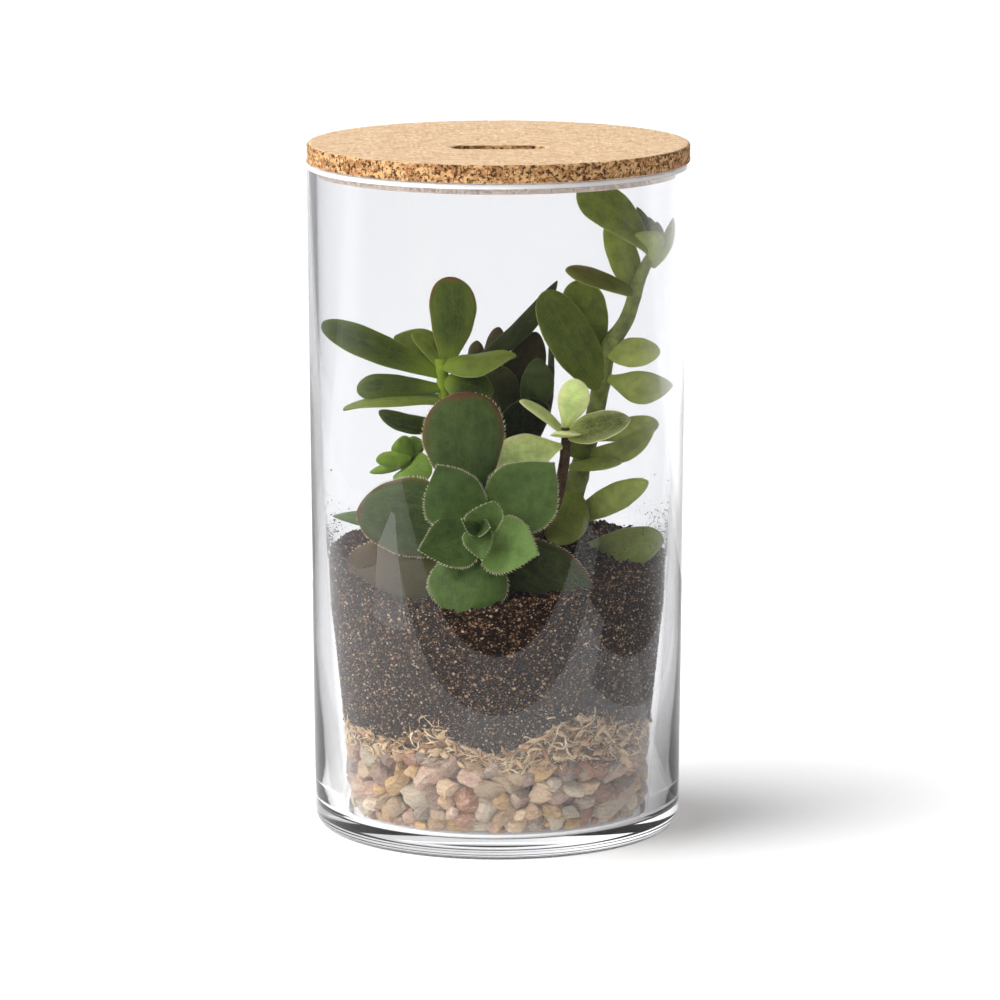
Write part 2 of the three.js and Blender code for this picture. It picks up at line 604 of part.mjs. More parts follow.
// The tall branch on the right, leaning out to the glass
const tallBranch = {
  stems: [
    {
      points: [
        [41.6, 0, 154.5], [38.2, 0, 148], [34.2, 0, 136], [29, 0, 126.8], [26.7, 0, 113.5],
        [23.5, -0.5, 100.5], [20, -2, 87.5], [18.5, -2, 71.5], [18, -2, 55],
      ],
      radii: [1.2, 1.6, 2, 2.3, 2.4, 2.6, 2.8, 2.9, 2.8],
    },
  ],
  leaves: [
    { kind: 'spoon', base: [40.5, -1, 153.4], tip: [21, -5, 170.6], width: 10.8, face: [0, -1, 0.2],
      end: 0.65, sweep: -2 },
    { kind: 'oval', base: [36.2, 1.2, 143], tip: [29.5, 4.4, 161.7], width: 8.4, face: [0, -1, 0.1],
      foot: 0.4, sweep: -0.4 },
    { kind: 'lance', base: [41, 0.6, 152.5], tip: [37, 5, 165], width: 4, face: [0.3, -1, 0.2],
      sweep: -0.6 },
    { kind: 'lance', base: [41.2, 0.8, 152.5], tip: [40.3, 5, 162.3], width: 4.2, face: [0, -1, 0.4],
      sweep: -0.4 },
    { kind: 'lance', base: [41.4, 0.5, 152.5], tip: [42.4, 3.2, 161.3], width: 4.4,
      face: [-0.2, -1, 0.2], sweep: -0.4 },
    { kind: 'oval', base: [41.2, -0.8, 152], tip: [36.1, -7, 159.4], width: 5.6, face: [0.3, -0.7, -0.7],
      foot: 0.5, sweep: -3 },
    { kind: 'oval', base: [40.8, -0.4, 149.8], tip: [46.4, -3.2, 163.2], width: 4, face: [-0.7, -0.7, 0],
      foot: 0.5, end: 0.8, sweep: -1.2 },
    { kind: 'oval', base: [35.5, -1, 143], tip: [17.9, -6, 149.8], width: 7.2, face: [0, -0.6, 0.78],
      widest: 0.66, foot: 0.45, bow: 0.6 },
    { kind: 'oval', base: [27.3, -2, 117.8], tip: [12, -8, 144.2], width: 12.7, face: [0.1, -1, 0.15],
      end: 0.45, bow: -0.8, cup: 0.06, thick: 2 },
    { kind: 'spoon', base: [28, 1.2, 124.4], tip: [20.5, 2.4, 145.7], width: 11.8, face: [-0.1, -1, 0] },
    { kind: 'oval', base: [28.8, -1.5, 126.8], tip: [42.8, -5, 128], width: 8, face: [0, -0.95, 0.3],
      widest: 0.48, foot: 0.12, end: 0.55 },
    { kind: 'oval', base: [28.4, -1, 120.6], tip: [46.8, -3.5, 118.5], width: 9, face: [0, -0.95, 0.3],
      foot: 0.2, swell: 1.6, end: 0.85, sweep: -1.8 },
    { kind: 'oval', base: [24.8, -1.5, 103.6], tip: [42.4, -7, 108.8], width: 7, face: [0, -0.8, 0.6],
      widest: 0.68, swell: 1.1, end: 0.55, sweep: 0.4 },
    { kind: 'oval', base: [24, -2, 99.8], tip: [41.1, -9, 107.7], width: 6.4, face: [0, -0.9, 0.4],
      end: 0.7, sweep: -2.6 },
    { kind: 'lance', base: [19.4, -3, 96.6], tip: [32.5, -11.5, 99.2], width: 6,
      face: [0, -0.55, 0.84], end: 0.6 },
    { kind: 'oval', base: [24, -2, 99.6], tip: [17.6, -6.5, 103.9], width: 5.6, face: [0, -0.9, 0.3],
      foot: 0.5 },
    { kind: 'round', base: [20.5, -4, 89.5], tip: [14.8, -21, 79], width: 10.6,
      face: [0.1, -0.65, 0.75], end: 0.45, cup: 0.05, sweep: 1.2 },
    { kind: 'oval', base: [20.6, -4, 82.8], tip: [39.5, -10, 93.9], width: 7.6, face: [0, -0.9, 0.45],
      foot: 0.4 },
    { kind: 'oval', base: [19, -3.6, 72.6], tip: [42, -17, 80.1], width: 12.5,
      face: [0.2, -0.8, 0.55], widest: 0.68, swell: 1, end: 0.5, bow: 1.4, sweep: -2.6 },
  ],
};

// The cream-edged sprig in front of it, on a dark stem
const creamEdgedSprig = {
  stems: [
    {
      points: [[18, -12.2, 108.5], [17.5, -13.4, 99], [15.2, -16.8, 89.5], [11, -19.8, 82], [9, -20.3, 74],
        [8.5, -20, 57]],
      radii: [1.1, 1.4, 1.5, 1.5, 1.5, 1.5],
    },
  ],
  leaves: [
    { kind: 'spoon', base: [17.2, -12, 107.5], tip: [20.9, -12, 121.7], width: 8.4, face: [0, -1, 0.1],
      widest: 0.62, swell: 2, sweep: -0.5, thick: 1.6 },
    { kind: 'oval', base: [17.4, -12.2, 107], tip: [5.9, -15, 116.4], width: 4.8, face: [0.4, -0.5, 0.75],
      foot: 0.5, sweep: -1.4 },
    { kind: 'round', base: [18, -12.5, 106.6], tip: [17.6, -20, 108.4], width: 8,
      face: [0, 0.2, 0.98], thick: 1.8 },
    { kind: 'oval', base: [17, -13, 103.8], tip: [-1.5, -19.5, 99.8], width: 11.6,
      face: [0, -0.8, 0.6], foot: 0.15, swell: 1.4, end: 0.55, bow: 1.2, sweep: -0.4 },
    { kind: 'oval', base: [18.4, -12.8, 106.6], tip: [34.5, -16.5, 111.7], width: 8.7,
      face: [0, -0.85, 0.5], widest: 0.46, end: 0.65, bow: 0.8 },
  ],
};

const plants = [rosette, spoonLeafPlant, darkLeafPlant, greenSprig, tallBranch, creamEdgedSprig];

// Potting soil with a plain hole for every stem and buried leaf
function pottingSoil() {
  const holes = plants.map((plant) => plantSolid(plant, clearance));
  return toGeometry(largestBody(toSolid(soilBlock()).subtract(join(holes))));
}

const terrarium = new THREE.Group();
const glass = { transparent: true, opacity: 0.25 };
terrarium.add(named('glass_jar', glassJar(), 0xe6eaee, 0.04, glass));
terrarium.add(named('cork_lid', corkLid(), 0xd2a47c, 0.85));
terrarium.add(named('gravel_bed', gravelBed(), 0xb89a78, 0.8));
terrarium.add(named('fibre_layer', fibreLayer(), 0xc9a271, 0.9));
terrarium.add(named('potting_soil', pottingSoil(), 0x33261f, 0.95));
terrarium.add(named('rosette_plant', toGeometry(plantSolid(rosette)), 0x45683a, 0.45));
terrarium.add(named('spoon_leaf_plant', toGeometry(plantSolid(spoonLeafPlant)), 0x4a6428, 0.5));
terrarium.add(named('dark_leaf_plant', toGeometry(plantSolid(darkLeafPlant)), 0x25361a, 0.5));
terrarium.add(named('green_sprig', toGeometry(plantSolid(greenSprig)), 0x5f8433, 0.5));
terrarium.add(named('tall_branch', toGeometry(plantSolid(tallBranch)), 0x66803c, 0.5));
terrarium.add(named('cream_edged_sprig', toGeometry(plantSolid(creamEdgedSprig)), 0x9fb35c, 0.5));

export default terrarium;
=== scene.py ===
import math
import bpy
import numpy as np
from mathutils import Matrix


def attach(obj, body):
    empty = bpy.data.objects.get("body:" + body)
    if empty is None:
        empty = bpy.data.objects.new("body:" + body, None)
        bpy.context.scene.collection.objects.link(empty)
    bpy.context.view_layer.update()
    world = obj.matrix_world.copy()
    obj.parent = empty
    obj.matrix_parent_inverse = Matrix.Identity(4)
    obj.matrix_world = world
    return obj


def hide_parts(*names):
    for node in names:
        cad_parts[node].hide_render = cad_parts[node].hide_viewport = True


# A planted glass jar with a cork lid. Shapes are in millimetres here and become metres in newPiece.
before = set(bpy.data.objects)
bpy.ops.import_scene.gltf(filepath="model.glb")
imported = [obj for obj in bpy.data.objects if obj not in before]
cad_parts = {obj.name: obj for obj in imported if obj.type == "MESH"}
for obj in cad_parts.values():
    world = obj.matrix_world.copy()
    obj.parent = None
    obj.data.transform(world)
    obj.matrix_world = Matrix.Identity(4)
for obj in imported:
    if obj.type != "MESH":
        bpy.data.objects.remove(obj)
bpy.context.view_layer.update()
mm = 0.001
clearance = 0.3  # between neighbouring pieces
print("frame loaded:", len(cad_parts), "nodes")


# Shader maths

def mathsMethod(operation, reflected=False):
    # a method that adds one Math node for the wire and what it is given
    def method(self, *others):
        node = self.tree.nodes.new("ShaderNodeMath")
        node.operation = operation
        values = (self, *others)
        for place, value in zip(node.inputs, values[::-1] if reflected else values):
            plug(place, value)
        return Wire(node.outputs[0])
    return method


class Wire:
    # a shader socket; each operator on it adds the Math node it needs
    def __init__(self, socket):
        self.socket = socket
        self.tree = socket.id_data

    __add__ = mathsMethod("ADD")
    __radd__ = mathsMethod("ADD", reflected=True)
    __sub__ = mathsMethod("SUBTRACT")
    __rsub__ = mathsMethod("SUBTRACT", reflected=True)
    __mul__ = mathsMethod("MULTIPLY")
    __rmul__ = mathsMethod("MULTIPLY", reflected=True)
    __abs__ = mathsMethod("ABSOLUTE")
    above = mathsMethod("GREATER_THAN")
    least = mathsMethod("MINIMUM")
    most = mathsMethod("MAXIMUM")

    def smooth(self, low, high):
        # 0 at low, 1 at high, eased between
        node = self.tree.nodes.new("ShaderNodeMapRange")
        node.interpolation_type = "SMOOTHSTEP"
        for key, value in (("Value", self), ("From Min", low), ("From Max", high)):
            plug(node.inputs[key], value)
        return Wire(node.outputs[0])

    def beside(self, key):
        # another output of the same node
        return Wire(self.socket.node.outputs[key])


def plug(place, value):
    if isinstance(value, Wire):
        place.id_data.links.new(value.socket, place)
    elif isinstance(value, (tuple, list)) and len(value) == 3 and len(place.default_value) == 4:
        place.default_value = (*value, 1)
    else:
        place.default_value = value


class Finish:
    # a material or world being built; add makes any node from its type, settings and sockets,
    # where i0 is the first socket and Base_Color the one named Base Color
    def __init__(self, holder):
        self.holder = holder
        holder.use_nodes = True
        self.tree = holder.node_tree
        self.tree.nodes.clear()

    def add(self, kind, settings=None, out=0, **sockets):
        node = self.tree.nodes.new("ShaderNode" + kind)
        for key, value in (settings or {}).items():
            if key == "stops":
                self.fillRamp(node.color_ramp, value)
            else:
                setattr(node, key, value)
        for key, value in sockets.items():
            place = int(key[1:]) if key[0] == "i" and key[1:].isdigit() else key.replace("_", " ")
            plug(node.inputs[place], value)
        return Wire(node.outputs[out])

    def fillRamp(self, ramp, stops):
        while len(ramp.elements) < len(stops):
            ramp.elements.new(1)
        for element, (place, colour) in zip(ramp.elements, stops):
            element.position = place
            element.color = (*colour, 1)

    def mix(self, factor, first, second, blend="MIX"):
        settings = {"data_type": "RGBA", "blend_type": blend}
        return self.add("Mix", settings, out=2, i0=factor, i6=first, i7=second)

    def tint(self, colour, factor):
        # a colour times a grey number
        grey = self.add("CombineColor", i0=factor, i1=factor, i2=factor)
        return self.mix(1.0, colour, grey, "MULTIPLY")

    def place(self, scale=(1, 1, 1), turn=(0, 0, 0)):
        # Object coordinates in millimetres, stretched and turned
        coordinates = self.add("TexCoord", out=3)
        sizes = tuple(s / mm for s in scale)
        return self.add("Mapping", Vector=coordinates, Scale=sizes, Rotation=turn)

    def shifted(self, vector, x, y, z):
        shift = self.add("CombineXYZ", X=x, Y=y, Z=z)
        return self.add("VectorMath", {"operation": "ADD"}, i0=vector, i1=shift)

    def noise(self, vector, scale, detail=3.0, roughness=0.55):
        return self.add("TexNoise", Vector=vector, Scale=scale, Detail=detail, Roughness=roughness)

    def cells(self, vector, scale, out=0, feature="F1"):
        return self.add("TexVoronoi", {"feature": feature}, out=out, Vector=vector, Scale=scale)

    def chance(self, vector, scale):
        # a random number for each cell
        return self.add("SeparateColor", Color=self.cells(vector, scale, out=1))

    def ramp(self, stops, value):
        return self.add("ValToRGB", {"stops": stops}, Fac=value)

    def value(self, name):
        return self.add("Attribute", {"attribute_name": name}, out=2)

    def bump(self, height, distance, strength):
        return self.add("Bump", Height=height, Distance=distance * mm, Strength=strength)

    def skin(self, colour, roughness, shine=0.5, **sockets):
        return self.surface(self.add("BsdfPrincipled", Base_Color=colour, Roughness=roughness,
                                     Specular_IOR_Level=shine, **sockets))

    def surface(self, shader, end="OutputMaterial"):
        output = self.tree.nodes.new("ShaderNode" + end)
        plug(output.inputs[0], shader)
        return self.holder


def newFinish(name):
    return Finish(bpy.data.materials.new(name))


# Shapes

def unit(vectors):
    # each vector divided by its own length
    return vectors / np.linalg.norm(vectors, axis=-1, keepdims=True)


def smoothstep(low, high, values):
    # 0 up to low and 1 from high on; three squares less two cubes between
    t = np.clip((values - low) / (high - low), 0, 1)
    return t * t * (3 - 2 * t)


def hump(values, middle, spread):
    # a bell: 1 at the middle, fading over the spread
    return np.exp(-(((values - middle) / spread) ** 2))


def around(count):
    # angles of a full turn
    return np.linspace(0, 2 * np.pi, count, endpoint=False)


def onCircle(radius, angle, height):
    # points round the jar's axis
    return np.stack(np.broadcast_arrays(radius * np.cos(angle), radius * np.sin(angle), height), -1)


def arc(centre, radius, start, end, steps):
    # part of a circle in a profile, from one angle in degrees to another
    angle = np.radians(np.linspace(start, end, steps + 1))
    return np.add(centre, onCircle(radius, angle, 0)[:, :2])


def turnMatrix(axis, angle):
    # rotation about an axis by an angle, for whole arrays of both
    x, y, z = np.moveaxis(np.broadcast_to(axis, (len(angle), 3)), -1, 0)
    c = np.cos(angle)
    s = np.sin(angle)
    k = 1 - c
    return np.stack([
        np.stack([c + x * x * k, x * y * k - z * s, x * z * k + y * s], -1),
        np.stack([y * x * k + z * s, c + y * y * k, y * z * k - x * s], -1),
        np.stack([z * x * k - y * s, z * y * k + x * s, c + z * z * k], -1)], -2)


def turnEach(shapes, axis, angle):
    # each shape of (shapes, points, 3) turned its own way
    return np.einsum("nij,nvj->nvi", turnMatrix(axis, angle), shapes)


def ripple(points, size, seed, waves=28):
    # a lumpy field about from -1 to 1: the sum of random plane waves, each about size long
    rng = np.random.default_rng(seed)
    ways = unit(rng.normal(size=(waves, 3))) * (2 * np.pi / (size * rng.uniform(0.7, 1.6, (waves, 1))))
    total = np.sin(points @ ways.T + rng.uniform(0, 2 * np.pi, waves)).sum(-1)
    return total / math.sqrt(waves)


def newPiece(name, points, faces, finish, attributes=None, smooth=True):
    # a mesh object from an array of points and a list of face arrays with 3 or 4 columns
    mesh = bpy.data.meshes.new(name)
    corners = np.concatenate([f.ravel() for f in faces]).astype(np.int32)
    counts = np.concatenate([np.full(len(f), f.shape[1]) for f in faces])
    starts = np.concatenate([[0], np.cumsum(counts)[:-1]]).astype(np.int32)
    mesh.vertices.add(len(points))
    mesh.vertices.foreach_set("co", (np.asarray(points) * mm).astype(np.float32).ravel())
    mesh.loops.add(len(corners))
    mesh.loops.foreach_set("vertex_index", corners)
    mesh.polygons.add(len(counts))
    mesh.polygons.foreach_set("loop_start", starts)
    mesh.polygons.foreach_set("use_smooth", np.full(len(counts), smooth))
    for key, values in (attributes or {}).items():
        layer = mesh.attributes.new(key, "FLOAT", "POINT")
        layer.data.foreach_set("value", np.asarray(values, np.float32).ravel())
    mesh.update(calc_edges=True)
    mesh.materials.append(finish)
    return link(bpy.data.objects.new(name, mesh))


def link(item):
    bpy.context.scene.collection.objects.link(item)
    return item


def dress(piece, slot, *nodes):
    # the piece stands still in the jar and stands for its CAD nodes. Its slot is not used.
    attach(piece, "root")
    if nodes:
        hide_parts(*nodes)
    return piece


def ringFaces(rings, sides):
    # quads between rings of points; the two points after them close the first and last ring
    side = np.arange(sides)
    after = (side + 1) % sides
    ring = np.arange(rings - 1)[:, None] * sides
    quads = np.stack([ring + side, ring + after, ring + after + sides, ring + side + sides], -1)
    top = (rings - 1) * sides
    end = np.full(sides, rings * sides)
    fans = [np.stack([end, after, side], -1), np.stack([end + 1, top + side, top + after], -1)]
    return quads.reshape(-1, 4), np.concatenate(fans)


def closedTubes(grids):
    # many tubes at once: grids is (tubes, rings, sides, 3)
    count, rings, sides, _ = grids.shape
    ends = np.stack([grids[:, 0].mean(1), grids[:, -1].mean(1)], 1)
    points = np.concatenate([grids.reshape(count, -1, 3), ends], 1)
    step = (np.arange(count) * points.shape[1])[:, None, None]
    faces = [(f + step).reshape(-1, f.shape[1]) for f in ringFaces(rings, sides)]
    return points.reshape(-1, 3), faces


def tubeValues(values):
    # values given as (tubes, rings, sides), with the two end points of each tube added
    ends = np.stack([values[:, 0].mean(1), values[:, -1].mean(1)], 1)
    return np.concatenate([values.reshape(len(values), -1), ends], 1).ravel()


def copies(points, quads, **values):
    # many copies of one small shape, points given as (copies, points, 3), a value for each copy
    count, each = points.shape[:2]
    step = (np.arange(count) * each)[:, None, None]
    attributes = {key: np.repeat(value, each) for key, value in values.items()}
    return points.reshape(-1, 3), [(quads + step).reshape(-1, 4)], attributes


def gather(parts):
    # several (points, faces, attributes) as one
    points = []
    faces = []
    attributes = {}
    count = 0
    for partPoints, partFaces, partValues in parts:
        points.append(partPoints)
        faces += [f + count for f in partFaces]
        for key, values in partValues.items():
            attributes.setdefault(key, []).append(values)
        count += len(partPoints)
    return np.concatenate(points), faces, {key: np.concatenate(v) for key, v in attributes.items()}


def polarBody(lowest, grid, highest):
    # rings (rings, sectors, 3) closed by a point on the axis at each end
    points = np.concatenate([grid.reshape(-1, 3), [[0, 0, lowest], [0, 0, highest]]])
    return points, list(ringFaces(*grid.shape[:2]))


def turned(profile, sectors):
    # a profile of (radius, height) turned about Z; its first and last points lie on the axis
    radius, height = profile[1:-1].T[..., None]
    return polarBody(profile[0][1], onCircle(radius, around(sectors), height), profile[-1][1])


def sphereCells(n):
    # a ball of 6 n n quads: a cube's faces pushed out to a sphere
    g = np.tan(np.linspace(-np.pi / 4, np.pi / 4, n + 1))
    a, b = np.meshgrid(g, g, indexing="ij")
    one = np.ones_like(a)
    cube = ((one, a, b), (-one, b, a), (b, one, a), (a, -one, b), (a, b, one), (b, a, -one))
    points = unit(np.array([np.stack(sheet, -1) for sheet in cube])).reshape(-1, 3)
    i, j = np.meshgrid(np.arange(n), np.arange(n), indexing="ij")
    cell = (i * (n + 1) + j).ravel()
    quad = np.stack([cell, cell + n + 1, cell + n + 2, cell + 1], -1)
    quads = np.concatenate([quad + sheet * (n + 1) ** 2 for sheet in range(6)])
    kept, where = np.unique(np.round(points, 6), axis=0, return_inverse=True)
    return kept, where.ravel()[quads]


# Glass jar

jar = {
    "rimRadius": 50, "footRadius": 48.56, "rimHeight": 177.7, "rimInnerRadius": 47.6,
    "heelRadius": 4.5, "floorHeight": 5, "floorFillet": 3, "sectors": 256,
    # the hollow underside, radius and height, out to the flat ring that the jar stands on
    "hollow": ((0, 1.6), (12, 1.55), (24, 1.3), (32, 0.95), (38, 0.45), (41.5, 0)),
    # the inner wall, radius by height: thin above the planting, thicker towards the base
    "wallHeights": (9, 25, 40, 61, 90, 120, 176.5),
    "wallRadii": (41.6, 43.2, 44.3, 45.1, 46.2, 47.1, 47.6),
    # how far out gravel, fibre and soil reach
    "fillHeights": (5, 9, 13, 28, 35, 51, 61, 75, 96, 120),
    "fillRadii": (39.4, 40.9, 41.2, 41.5, 42.1, 43.5, 44.7, 45.2, 46.1, 46.8),
    # painted highlight: from this height up the rim's top is mixed towards a white skin, for the light it
    # catches
    "glintFrom": 176.35, "glintFade": 0.15, "glintShare": 0.85, "glintColour": (0.92, 0.94, 0.96),
    "tint": (0.905, 0.909, 0.922), "clearTint": (0.97, 0.975, 0.98),
}


def fillRadius(height):
    # straight lines between the listed heights
    return np.interp(height, jar["fillHeights"], jar["fillRadii"])


def wallRadius(height):
    # likewise for the inner wall
    return np.interp(height, jar["wallHeights"], jar["wallRadii"])


def glassFinish():
    f = newFinish("clearGlass")
    glass = f.add("BsdfPrincipled", Base_Color=jar["tint"], Roughness=0.0, IOR=1.5, Transmission_Weight=1.0)
    clear = f.add("BsdfTransparent", Color=jar["clearTint"])
    path = f.add("LightPath")
    # light passes straight through to what stands inside
    inner = f.add("MixShader", i0=path.beside("Is Diffuse Ray"), i1=glass, i2=clear)
    whole = f.add("MixShader", i0=path.beside("Is Shadow Ray"), i1=inner, i2=clear)
    # painted highlight: a white diffuse skin over the rim's top stands in for the light caught there
    ground = f.add("BsdfPrincipled", Base_Color=jar["glintColour"], Roughness=0.3)
    return f.surface(f.add("MixShader", i0=f.value("ground") * jar["glintShare"], i1=whole, i2=ground))


def makeGlassJar():
    # one profile, turned: underside, heel, outer wall, rim, inner wall and floor
    halfWall = (jar["rimRadius"] - jar["rimInnerRadius"]) / 2
    heel = jar["heelRadius"]
    fillet = jar["floorFillet"]
    floor = jar["floorHeight"]
    ground = [jar["glintFrom"], jar["glintFrom"] + jar["glintFade"]]
    outer = np.concatenate([np.linspace(9, 172, 14), ground])
    outerRadii = np.interp(outer, (heel, jar["wallHeights"][-1]), (jar["footRadius"], jar["rimRadius"]))
    inner = np.concatenate([ground[::-1], np.linspace(ground[0] - 1.5, jar["wallHeights"][0] + 1, 70)])
    # the inner wall is the mean of 13 shifted copies, so that the base runs smoothly into the rim
    eased = np.mean([wallRadius(inner + shift) for shift in np.linspace(-9, 9, 13)], 0)
    profile = np.concatenate([
        jar["hollow"],
        arc((jar["footRadius"] - heel, heel), heel, -90, 0, 12),
        np.stack([outerRadii, outer], -1),
        arc((jar["rimRadius"] - halfWall, jar["rimHeight"] - halfWall), halfWall, 0, 180, 14),
        np.stack([eased, inner], -1),
        arc((jar["wallRadii"][0] - fillet, floor + fillet), fillet, 0, -90, 8),
        [[radius, floor] for radius in (30, 15, 0)],
    ])
    points, faces = turned(profile, jar["sectors"])
    # share of the painted rim highlight, rising over its fade
    white = smoothstep(*ground, points[:, 2])
    dress(newPiece("glassJar", points, faces, glassFinish(), {"ground": white}), "clear_glass", "glass_jar")
    print("glass jar made")


# Cork lid

lid = {
    "radius": 50.45, "thickness": 4.8, "underside": 177.9, "edge": 0.5, "plugRadius": 46.9, "plugDepth": 3.1,
    "slotLength": 24.4, "slotWidth": 8.5, "slotForward": 11.8, "aside": 0.35, "sectors": 420,
    # dark and light granules of the sanded top, of the cut sides and of the plug; the plug's pale pink-grey
    # is its smooth cut side with painted light added, for the glass's reflection over it and against the
    # lid's shade
    "topColours": ((0.66, 0.40, 0.205), (0.86, 0.63, 0.40)),
    "sideColours": ((0.38, 0.165, 0.055), (0.72, 0.42, 0.185)),
    "plugColours": ((0.72, 0.58, 0.49), (0.84, 0.70, 0.60)),
    # painted shade: dark colours for the hollows between granules
    "pitShadeColours": ((0.30, 0.15, 0.07), (0.06, 0.022, 0.010)),  # on the top and at the sides
    "topCells": 0.75, "sideCells": 0.6,  # granules in a millimetre
}


def corkFinish():
    f = newFinish("pressedCork")
    level = f.value("topness")          # 1 on the sanded top face, 0 on the cut sides
    fine = f.noise(f.place(), 2.2, 4.0, 0.7)
    patches = f.noise(f.place(), 0.12, 2.0)
    grains = f.chance(f.place((0.8, 1, 1)), lid["topCells"])
    top = f.mix(grains.smooth(0.0, 1.0), *lid["topColours"])
    top = f.mix(fine.smooth(0.42, 0.64) * 0.5, top, (0.93, 0.74, 0.52))
    top = f.mix(fine.smooth(0.50, 0.34) * 0.6, top, (0.52, 0.28, 0.125))
    top = f.mix(patches.smooth(0.4, 0.7) * 0.3, top, (0.86, 0.65, 0.43))
    # painted shade in the small hollows of the top
    topPits = f.noise(f.place((0.8, 1, 1)), 1.3, 4.0, 0.7).smooth(0.62, 0.69)
    topPitShade, sidePitShade = lid["pitShadeColours"]
    top = f.mix(topPits * 0.6, top, topPitShade)
    # the cut sides show whole granules, bent out of shape, with painted shade darkening the pits between them
    warp = f.noise(f.place(), 0.7, 2.0)
    bent = f.shifted(f.place((1, 1, 1.2)), warp * 2.0, warp * 1.5, warp * 2.5)
    side = f.mix(f.chance(bent, lid["sideCells"]).smooth(0.1, 0.9), *lid["sideColours"])
    side = f.mix(f.noise(f.place(), 3.0, 3.0, 0.7).smooth(0.45, 0.7) * 0.5, side, (0.78, 0.50, 0.27))
    pits = f.noise(f.place(), 1.1, 5.0, 0.75)
    side = f.mix(pits.smooth(0.51, 0.58) * 0.95, side, sidePitShade)
    # the plug: smooth cut cork, made paler with painted light for the reflection in the glass in front of it
    side = f.mix(f.value("plugness"), side, f.mix(fine, *lid["plugColours"]))
    relief = f.cells(bent, lid["sideCells"]) * 0.35 - pits.smooth(0.5, 0.62) * 1.2
    relief = relief - topPits * level * 0.5 + fine * 0.3
    return f.skin(f.mix(level, side, top), 0.86, 0.25, Normal=f.bump(relief, 0.35, 0.8))


def lidRows():
    # the section runs up the slot, over the top, down the rim and back under the plug;
    # 0 is the slot's outline, 1 the rim's and 2 the plug's
    edge = lid["edge"]
    under = lid["underside"]
    top = under + lid["thickness"]
    low = under - lid["plugDepth"]
    legs = [(0, low + edge), (0, top - edge), (0, top), (0.3, top), (0.8, top), (1, top), (1, top - edge),
            (1, under + edge), (1, under), (2, under), (2, low + edge), (2, low), (0, low)]
    steps = (14, 2, 8, 26, 10, 3, 20, 3, 6, 12, 3, 10, 3)
    turn = around(lid["sectors"])
    way = onCircle(1, turn, 0)[:, :2]
    # slot outline: a straight middle line swept by half a width
    flat = lid["slotLength"] / 2 - lid["slotWidth"] / 2
    straight = np.clip(way[:, :1] * 2.2, -1, 1) * (flat, 0)
    slot = straight + way * lid["slotWidth"] / 2 - (0, lid["slotForward"])
    rim = way * lid["radius"]
    outlines = {0: slot, 0.3: slot * 0.7 + rim * 0.3, 0.8: slot * 0.2 + rim * 0.8, 1: rim,
                2: way * lid["plugRadius"]}
    rows = []
    topness = []
    plugness = []
    for (a, za), (b, zb), count in zip(legs, legs[1:] + legs[:1], steps):
        for t in np.arange(count) / count:
            height = np.full(len(turn), za + (zb - za) * t)
            rows.append(np.column_stack([outlines[a] * (1 - t) + outlines[b] * t, height]))
            topness.append(float(min(za, zb) >= top))
            plugness.append(float(max(a, b) == 2))
    return np.array(rows), np.array(topness)[:, None], np.array(plugness)[:, None]


def makeCorkLid():
    grid, topness, plugness = lidRows()
    edge = lid["edge"]
    top = lid["underside"] + lid["thickness"]
    # the corner is eased by moving the outermost and topmost rows
    radius = np.linalg.norm(grid[..., :2], axis=-1)
    nearTop = smoothstep(top - edge, top, grid[..., 2])
    nearRim = smoothstep(lid["radius"] - edge, lid["radius"], radius)
    grid[..., :2] *= (1 - nearTop * nearRim * edge * 0.45 / lid["radius"])[..., None]
    grid[..., 2] -= nearTop * nearRim * edge * 0.35
    # crumbled granules: the cut sides are pushed in by up to a third of a millimetre
    crumb = np.clip(ripple(grid, 1.6, 3) * 0.5 + ripple(grid, 0.8, 4) * 0.5, -1.2, 1.4)
    push = 0.16 * (crumb - 1.4) * (1 - topness) * (grid[..., 2] > lid["underside"] - 0.1)
    grid[..., :2] *= (1 + push / np.maximum(radius, 30))[..., None]
    grid[..., 2] -= np.abs(ripple(grid, 2.2, 5)) * 0.05 * topness
    # the lid sits a little to one side; its plug stays in the middle
    grid[..., 0] += lid["aside"] * (1 - plugness)
    rows, sectors = grid.shape[:2]
    here = np.arange(rows * sectors).reshape(rows, sectors)
    ahead = np.roll(here, -1, 0)
    quads = np.stack([ahead, np.roll(ahead, -1, 1), np.roll(here, -1, 1), here], -1).reshape(-1, 4)
    values = {"topness": np.repeat(topness, sectors), "plugness": np.repeat(plugness, sectors)}
    dress(newPiece("corkLid", grid.reshape(-1, 3), [quads], corkFinish(), values), "cork", "cork_lid")
    print("cork lid made")


# Where the layers meet against the glass

def frontTurn(x, y):
    # degrees from the front, positive towards +X
    return (np.degrees(np.arctan2(y, x)) + 90 + 180) % 360 - 180


def gravelTop(angle):
    # level with small waves, a rise at the left of the front and a dip at its right
    turn = frontTurn(np.cos(angle), np.sin(angle))
    return 24.4 + 1.2 * hump(turn, -40, 30) - 3.0 * hump(turn, 42, 26) + 0.5 * np.sin(5 * angle)


def fibreTop(angle):
    # two heaps in front, a dip between them, and higher round the back
    turn = frontTurn(np.cos(angle), np.sin(angle))
    heaps = 3.4 * hump(turn, -26, 8) + 6.8 * hump(turn, 33, 17) - 2 * hump(turn, 0, 9)
    return 30.2 + heaps + 5 * smoothstep(75, 110, np.abs(turn)) + 0.5 * np.sin(9 * angle)


